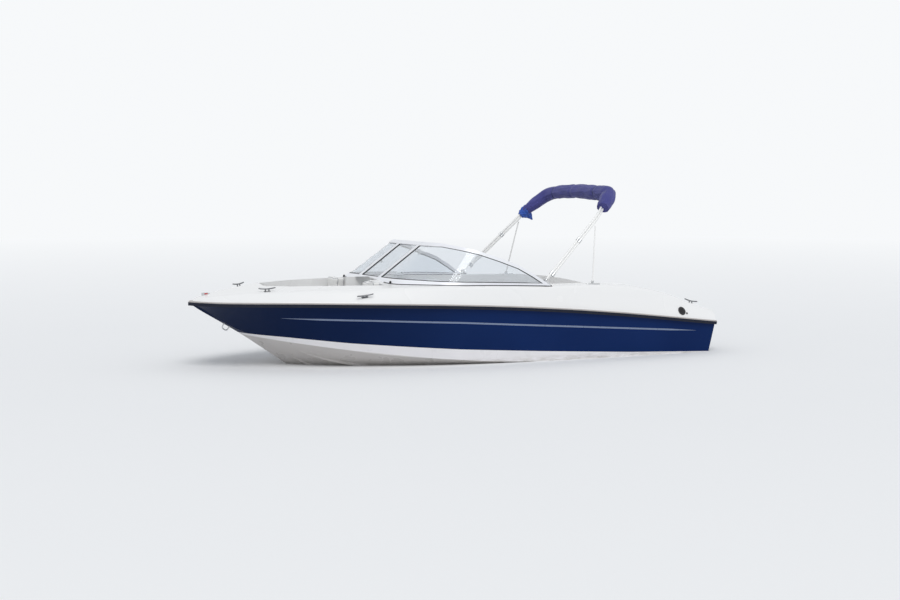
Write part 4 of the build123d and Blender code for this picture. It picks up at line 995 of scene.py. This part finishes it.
def rolled(name, line, girth, steps, around, crease, pinches=()):
    """A rolled sleeve of canvas: a grid wrapped round a smooth line through the hoops."""
    rows = [line[0], *line, line[-1]]
    spans = len(rows) - 2

    def at(t):
        place = min(t * spans, spans - 0.0001)
        i, u = int(place), place - int(place)
        weights = ((1 - u) ** 2 / 2, 0.5 + u - u * u, u * u / 2)
        s, y = [sum(w * rows[i + k][axis] for k, w in enumerate(weights)) for axis in (0, 1)]
        hinge = Vector((HOOP_HINGE[0], y, HOOP_HINGE[1]))
        return hinge + HOOP_UP * s - HOOP_FRONT * HOOP_MIDDLE

    rest()
    bpy.ops.mesh.primitive_grid_add(x_subdivisions=steps, y_subdivisions=around, size=1)
    sleeve = named(name)
    sleeve.data.transform(Matrix.Translation((0.5, 0.5, 0)))
    for vertex in sleeve.data.vertices:
        t, turn = vertex.co.x, 2 * pi * vertex.co.y
        spot = at(t)
        ahead = (at(min(1, t + 0.004)) - at(max(0, t - 0.004))).normalized()
        across = ahead.cross(HOOP_FRONT).normalized()
        run = t * spans * 0.2
        fold = 0.030 * sin(3 * turn + 5 * run) + 0.022 * sin(7 * turn - 9 * run + 2 * sin(11 * run))
        fold += 0.016 * sin(12 * turn + 14 * run) + 0.020 * sin(31 * run + 2 * turn)
        wide = along(girth, spot.y) * (1 + crease * fold)
        for y, depth in pinches:
            wide *= 1 - depth * exp(-(((spot.y - y) / PINCH_WIDTH) ** 2))
        end = min(t, 1 - t) * steps
        wide *= ROLL_CLOSING[int(end)] if end < len(ROLL_CLOSING) else 1
        hem = HEM_HEIGHT * max(0.0, 1 - abs(turn - HEM_TURN) / HEM_WIDTH)
        ahead_by = cos(turn) * (wide * ROLL_FLATNESS + hem)
        vertex.co = spot + HOOP_FRONT * ahead_by + across * sin(turn) * wide
    edit(sleeve)
    bpy.ops.mesh.select_all(action="SELECT")
    bpy.ops.mesh.remove_doubles(threshold=0.0001)
    bpy.ops.mesh.select_all(action="SELECT")
    bpy.ops.mesh.fill_holes(sides=0)
    bpy.ops.mesh.select_all(action="SELECT")
    bpy.ops.mesh.normals_make_consistent(inside=False)
    bpy.ops.object.mode_set(mode="OBJECT")
    return sleeve


sleeve = rolled(
    "sunshade_sleeve", SLEEVE_LINE, SLEEVE_GIRTH, steps=190, around=72, crease=1.0, pinches=SLEEVE_PINCHES,
)
finished(sleeve, CANVAS, "bimini", 60)
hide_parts("bimini_boot")
for number, y in enumerate(SLEEVE_TIES):
    ring = cut_ring(sleeve, f"sleeve_seam_{number}", (0, y, 0), ATHWART)
    finished(cord_of(ring, f"sleeve_tie_{number}", TIE_R), NAVY_VINYL, "bimini")
tied = rolled(
    "sunshade_tied_end", TIED_LINE, TIED_GIRTH, steps=34, around=56, crease=2.2, pinches=TIED_PINCHES,
)
for vertex in tied.data.vertices:
    vertex.co += TAIL_DROP * exp(-(((vertex.co - TAIL_SPOT).length / TAIL_REACH) ** 2))
finished(tied, SOCK, "bimini", 60)


# Window seals: beads round each pane, and under the frames on the deck
SEAL_R = 0.0065
SEAL_TOUCH = 0.0012
BINDING_R = 0.0042
for node, body in (
    ("windshield_glass_port", "boat"),
    ("windshield_glass_starboard", "boat"),
    ("door_glass", "windshield_door"),
):
    seal = bead_on(node, node.replace("glass", "seal"), SEAL_R, pane_edges)
    finished(seal, SEAL, body)


def deck_edges(shape):
    """Sharp edges that lie on the deck."""
    skin = solids["deck"]
    for edge in shape.edges:
        if edge.calc_face_angle(0) > radians(25):
            gaps = [(skin.closest_point_on_mesh(v.co)[1] - v.co).length for v in edge.verts]
            if max(gaps) < SEAL_TOUCH:
                yield edge


for side in ("port", "starboard"):
    gasket = bead_on(f"windshield_frame_{side}", f"windshield_gasket_{side}", SEAL_R, deck_edges)
    finished(gasket, SEAL, "boat")


# Carpet binding
def mat_rim(shape):
    top = max(v.co.z for v in shape.verts)
    for edge in shape.edges:
        if all(v.co.z > top - 0.0005 for v in edge.verts) and edge.calc_face_angle(0) > radians(40):
            yield edge


binding = bead_on("cockpit_mat", "carpet_binding", BINDING_R, mat_rim)
finished(binding, RAIL, "boat")


# Helm and dash
DIAL_SWEEP = 120
DIAL_STEP = 24


def painted(piece, finish):
    wear(piece, finish)
    return piece


def dial(name, spot, size, reading):
    """A gauge that faces aft: size is its radius, reading the turn of its hand in degrees."""
    rim = [(0, size), (0.006, size), (0.008, size * 0.95), (0.006, size * 0.88), (0.002, size * 0.86)]
    bezel = turned(name, rim)
    face = turned(name + "_face", [(0.0016, size * 0.87), (0.0024, size * 0.86), (0.0026, size * 0.1)])
    tick = boxed(name + "_tick", (-0.0007, size * 0.64, 0.0026), (0.0007, size * 0.80, 0.0034), 0.0002, 1)
    marks = []
    for turn in range(-DIAL_SWEEP, DIAL_SWEEP, DIAL_STEP):
        spin = Matrix.Rotation(radians(turn), 4, "Z")
        marks.append(again(tick, f"{name}_mark_{turn}", about=spin))
    hand = boxed(name + "_hand", (-0.0009, -size * 0.15, 0.004), (0.0009, size * 0.66, 0.0048), 0.0003, 1)
    hand.data.transform(Matrix.Rotation(radians(reading), 4, "Z"))
    button = [(0.0026, size * 0.13), (0.0058, size * 0.11), (0.0064, size * 0.03)]
    cap = turned(name + "_cap", button, sides=20)
    tick.data.transform(Matrix.Rotation(radians(DIAL_SWEEP), 4, "Z"))
    wear(bezel, STEEL)
    for dark in (face, cap):
        wear(dark, PLASTIC)
    for pale in (hand, tick, *marks):
        wear(pale, SHELL)
    return placed(joined(name, [bezel, face, hand, cap, tick, *marks]), spot, AFT)


# Distance to port, height, radius and reading of each gauge
DIALS = [
    (-0.335, 0.706, 0.022, 60), (-0.405, 0.706, 0.038, 120), (-0.495, 0.706, 0.038, 120),
    (-0.565, 0.706, 0.022, 20), (-0.616, 0.706, 0.020, -30), (-0.665, 0.706, 0.020, 45),
]
gauges = []
for number, (y, z, size, reading) in enumerate(DIALS):
    gauges.append(dial(f"gauge_{number}", (0.236, y, z), size, reading))
fitted(joined("helm_gauges", gauges), "boat")

plate = painted(boxed("switch_plate", (0.246, -0.755, 0.582), (0.2505, -0.595, 0.626), 0.0015), PLASTIC)
rocker = painted(boxed("rocker", (0.238, -0.744, 0.590), (0.247, -0.730, 0.618), 0.0025, 3), DRIVE)
rockers = [again(rocker, f"rocker_{i}", shift=(0, 0.0225 * i, 0)) for i in range(1, 6)]
LOCK = [(0, 0.016), (0.006, 0.016), (0.009, 0.012), (0.016, 0.011), (0.018, 0.008)]
lock = painted(turned("start_lock", LOCK, (0.250, -0.365, 0.600), AFT), STEEL)
fitted(joined("helm_switches", [plate, rocker, *rockers, lock]), "boat")

WHEEL_SPOT = Vector((0.105, -0.480, 0.590))
WHEEL_LEAN = radians(28)
WHEEL_FACE = Vector((-cos(WHEEL_LEAN), 0, sin(WHEEL_LEAN)))
WHEEL_BOSS = [(0.0075, 0.031), (0.011, 0.030), (0.0135, 0.024), (0.0125, 0.019), (0.0145, 0.004)]
boss = turned("wheel_boss", WHEEL_BOSS, WHEEL_SPOT, WHEEL_FACE)
finished(boss, STEEL, "steering_wheel")
LEVER_CAP = [(0, 0.0135), (0.003, 0.0135), (0.005, 0.011), (0.0055, 0.004)]
knob = turned("lever_cap", LEVER_CAP, (0.02, -0.727, 0.58), ATHWART)
finished(knob, STEEL, "throttle")


def bent_bar(name, points, radius):
    """A bar along five points, with a rosette at each end."""
    rest()
    bpy.ops.curve.primitive_nurbs_path_add(location=(0, 0, 0))
    bar = bpy.context.object
    for point, spot in zip(bar.data.splines[0].points, points):
        point.co = (*spot, 1)
    bar.data.splines[0].order_u = 3
    bar.data.splines[0].use_endpoint_u = True
    bar.data.bevel_depth = radius
    bar.data.bevel_resolution = 3
    bpy.ops.object.convert(target="MESH")
    bar = named(name)
    ends = []
    for end, (foot, elbow) in enumerate(((points[0], points[1]), (points[-1], points[-2]))):
        way = Vector(elbow) - Vector(foot)
        outline = [
            (0, radius * 2.2), (0.003, radius * 2.2), (0.005, radius * 1.7), (0.0055, radius * 0.9),
        ]
        ends.append(turned(f"{name}_foot_{end}", outline, foot, way, 24))
    return joined(name, [bar, *ends])


# Places of the grab bar, x and y, at one height
GRAB_Z = 0.772
GRAB_LINE = [(0.250, 0.37), (0.208, 0.37), (0.204, 0.51), (0.208, 0.65), (0.250, 0.65)]
grab = bent_bar("dash_grab_bar", [(x, y, GRAB_Z) for x, y in GRAB_LINE], 0.008)
finished(grab, STEEL, "boat")
locker = painted(boxed("glove_locker", (0.243, 0.360, 0.640), (0.2505, 0.660, 0.742), 0.004, 3), LINER)
surround = painted(boxed("locker_frame", (0.247, 0.350, 0.630), (0.2505, 0.670, 0.752), 0.0015), SEAL)
LOCKER_CATCH = [(0, 0.014), (0.004, 0.014), (0.006, 0.010), (0.003, 0.008)]
catch = painted(turned("locker_catch", LOCKER_CATCH, (0.2435, 0.510, 0.722), AFT), STEEL)
fitted(joined("dash_locker", [locker, surround, catch]), "boat")

SPEAKER = [
    (0, 0.078), (0.006, 0.078), (0.009, 0.073), (0.007, 0.066), (0.007, 0.056), (0.009, 0.054),
    (0.007, 0.052), (0.007, 0.042), (0.009, 0.040), (0.007, 0.038), (0.007, 0.028), (0.009, 0.026),
    (0.008, 0.010),
]
speaker = turned("speaker_port", SPEAKER, (-0.22, 0.835, 0.45), (0, -1, 0))
speakers = joined("cockpit_speakers", [speaker, mirrored(speaker, "speaker_starboard")])
finished(speakers, PLASTIC, "boat")

# Door latch, hatch latch, light lenses, vent louvres, deck caps, platform tread and transom fittings
DOOR_LATCH = [(0, 0.012), (0.008, 0.009), (0.018, 0.013), (0.021, 0.010)]
latch = turned("door_latch", DOOR_LATCH, (0.5924, -0.209, 0.9651), (-0.582, 0, -0.813), 24)
finished(latch, STEEL, "windshield_door")
HATCH_CATCH = [(0, 0.020), (0.004, 0.020), (0.006, 0.015), (0.003, 0.012)]
hatch_catch = turned("hatch_catch", HATCH_CATCH, (-1.4785, 0, 0.583), FORE, 24)
finished(hatch_catch, STEEL, "hatch")

LENS_Y = 0.0145
LENS_HALF = 0.003
for name, side, tone in (("port", 1, (0.55, 0.02, 0.02)), ("starboard", -1, (0.02, 0.38, 0.10))):
    f = Finish(f"lens_{name}", tone, 0.12, coat=0.4)
    f.tint(f.spread(f.ribs(260, "X"), 0.2, 0.9, 0.0, 0.35), tuple(c * 0.5 for c in tone))
    f.polish(f.cloud(60), 0.08, 0.18)
    f.relief(f.ribs(260, "X"), 0.0004, 0.5)
    low = (2.505, side * LENS_Y - LENS_HALF, 0.7035)
    high = (2.545, side * LENS_Y + LENS_HALF, 0.7155)
    lens = boxed(f"bow_lens_{name}", low, high, 0.002, 3)
    finished(lens, f.made, "boat")


def on_skin(node, start, way):
    """Where a ray meets a CAD node, and the normal there."""
    _, spot, normal, _ = solids[node].ray_cast(Vector(start), Vector(way).normalized())
    return spot, normal


SLAT_PITCH = 0.0105
SLAT_SHORTENING = 0.13
grille = turned("vent_ring", [(0.0085, 0.041), (0.0125, 0.039), (0.0125, 0.034), (0.0095, 0.032)])
slat = boxed("vent_slat", (-0.029, -0.0022, 0.0085), (0.029, 0.0022, 0.0120), 0.0008)
slats = []
for place in (-2, -1, 1, 2):
    shorter = Matrix.Scale(1 - SLAT_SHORTENING * place * place, 4, FORE)
    slats.append(again(slat, f"slat_{place}", shift=(0, SLAT_PITCH * place, 0), about=shorter))
grille = joined("vent_grille", [grille, slat, *slats])
spot, normal = on_skin("deck", (-2.27, 1.3, 0.434), (0, -1, 0))
grille_port = placed(grille, spot, normal)
grilles = joined("vent_grilles", [grille_port, mirrored(grille_port, "vent_grille_twin")])
finished(grilles, PLASTIC, "boat")

CAP_SPOT = (0.848, 0.556, 1.2)
DECK_CAP = [(0, 0.012), (0.010, 0.012), (0.021, 0.010), (0.026, 0.005)]
spot, normal = on_skin("deck", CAP_SPOT, (0, 0, -1))
cap_port = turned("deck_cap", DECK_CAP, spot, normal, 24)
caps = joined("deck_caps", [cap_port, mirrored(cap_port, "deck_cap_twin")])
finished(caps, PLASTIC, "boat")

tread = boxed("platform_tread", (-2.680, -0.570, 0.3615), (-2.400, 0.570, 0.3655), 0.0015)
rib = boxed("tread_rib", (-2.670, -0.556, 0.3650), (-2.410, -0.546, 0.3680), 0.0015)
bake_modifier(rib, "ARRAY", count=40, use_relative_offset=False, use_constant_offset=True,
              constant_offset_displace=(0, 0.0283, 0))
finished(joined("platform_tread", [tread, rib]), MAT_RUBBER, "boat")

TRANSOM_RAKE = radians(14)
TRANSOM_X = -2.700
TRANSOM_Z = 0.306
TRANSOM_OUT = Vector((-cos(TRANSOM_RAKE), 0, -sin(TRANSOM_RAKE)))


def on_transom(y, z):
    return Vector((TRANSOM_X - (z - TRANSOM_Z) * tan(TRANSOM_RAKE), y, z))


TOW_EYE = [
    (0, 0.026), (0.006, 0.026), (0.009, 0.021), (0.010, 0.012), (0.032, 0.011), (0.036, 0.016),
    (0.042, 0.018), (0.048, 0.015), (0.050, 0.006),
]
DRAIN_PLUG = [(0, 0.018), (0.004, 0.018), (0.005, 0.011), (0.014, 0.010), (0.015, 0.006)]
BILGE_OUTLET = [(0, 0.022), (0.004, 0.022), (0.006, 0.018), (0.006, 0.012), (0.002, 0.010)]
tow = turned("tow_eye", TOW_EYE, on_transom(0, 0.235), TRANSOM_OUT)
plug = turned("drain_plug", DRAIN_PLUG, on_transom(0.20, -0.27), TRANSOM_OUT, 6)
outlet = turned("bilge_outlet", BILGE_OUTLET, on_transom(-0.62, 0.20), TRANSOM_OUT)
finished(joined("transom_fittings", [tow, plug, outlet]), STEEL, "boat")

# Engine dressing, seen with the hatch up
intake = boxed("intake_plate", (-2.10, -0.11, 0.350), (-1.66, 0.11, 0.388), 0.012, 3)
ARRESTOR = [(0, 0.085), (0.012, 0.095), (0.045, 0.095), (0.056, 0.086), (0.060, 0.030)]
arrestor = turned("flame_arrestor", ARRESTOR, (-1.85, 0, 0.385), UP)
manifold = boxed("manifold_port", (-2.12, 0.150, 0.320), (-1.64, 0.245, 0.380), 0.022, 4)
engine_top = joined("engine_top", [intake, arrestor, manifold, mirrored(manifold, "manifold_starboard")])
finished(engine_top, ENGINE, "boat")

anode = boxed("drive_anode", (-3.090, -0.013, -0.452), (-3.000, 0.013, -0.4395), 0.003)
finished(anode, STRIP, "drive")

low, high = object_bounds()
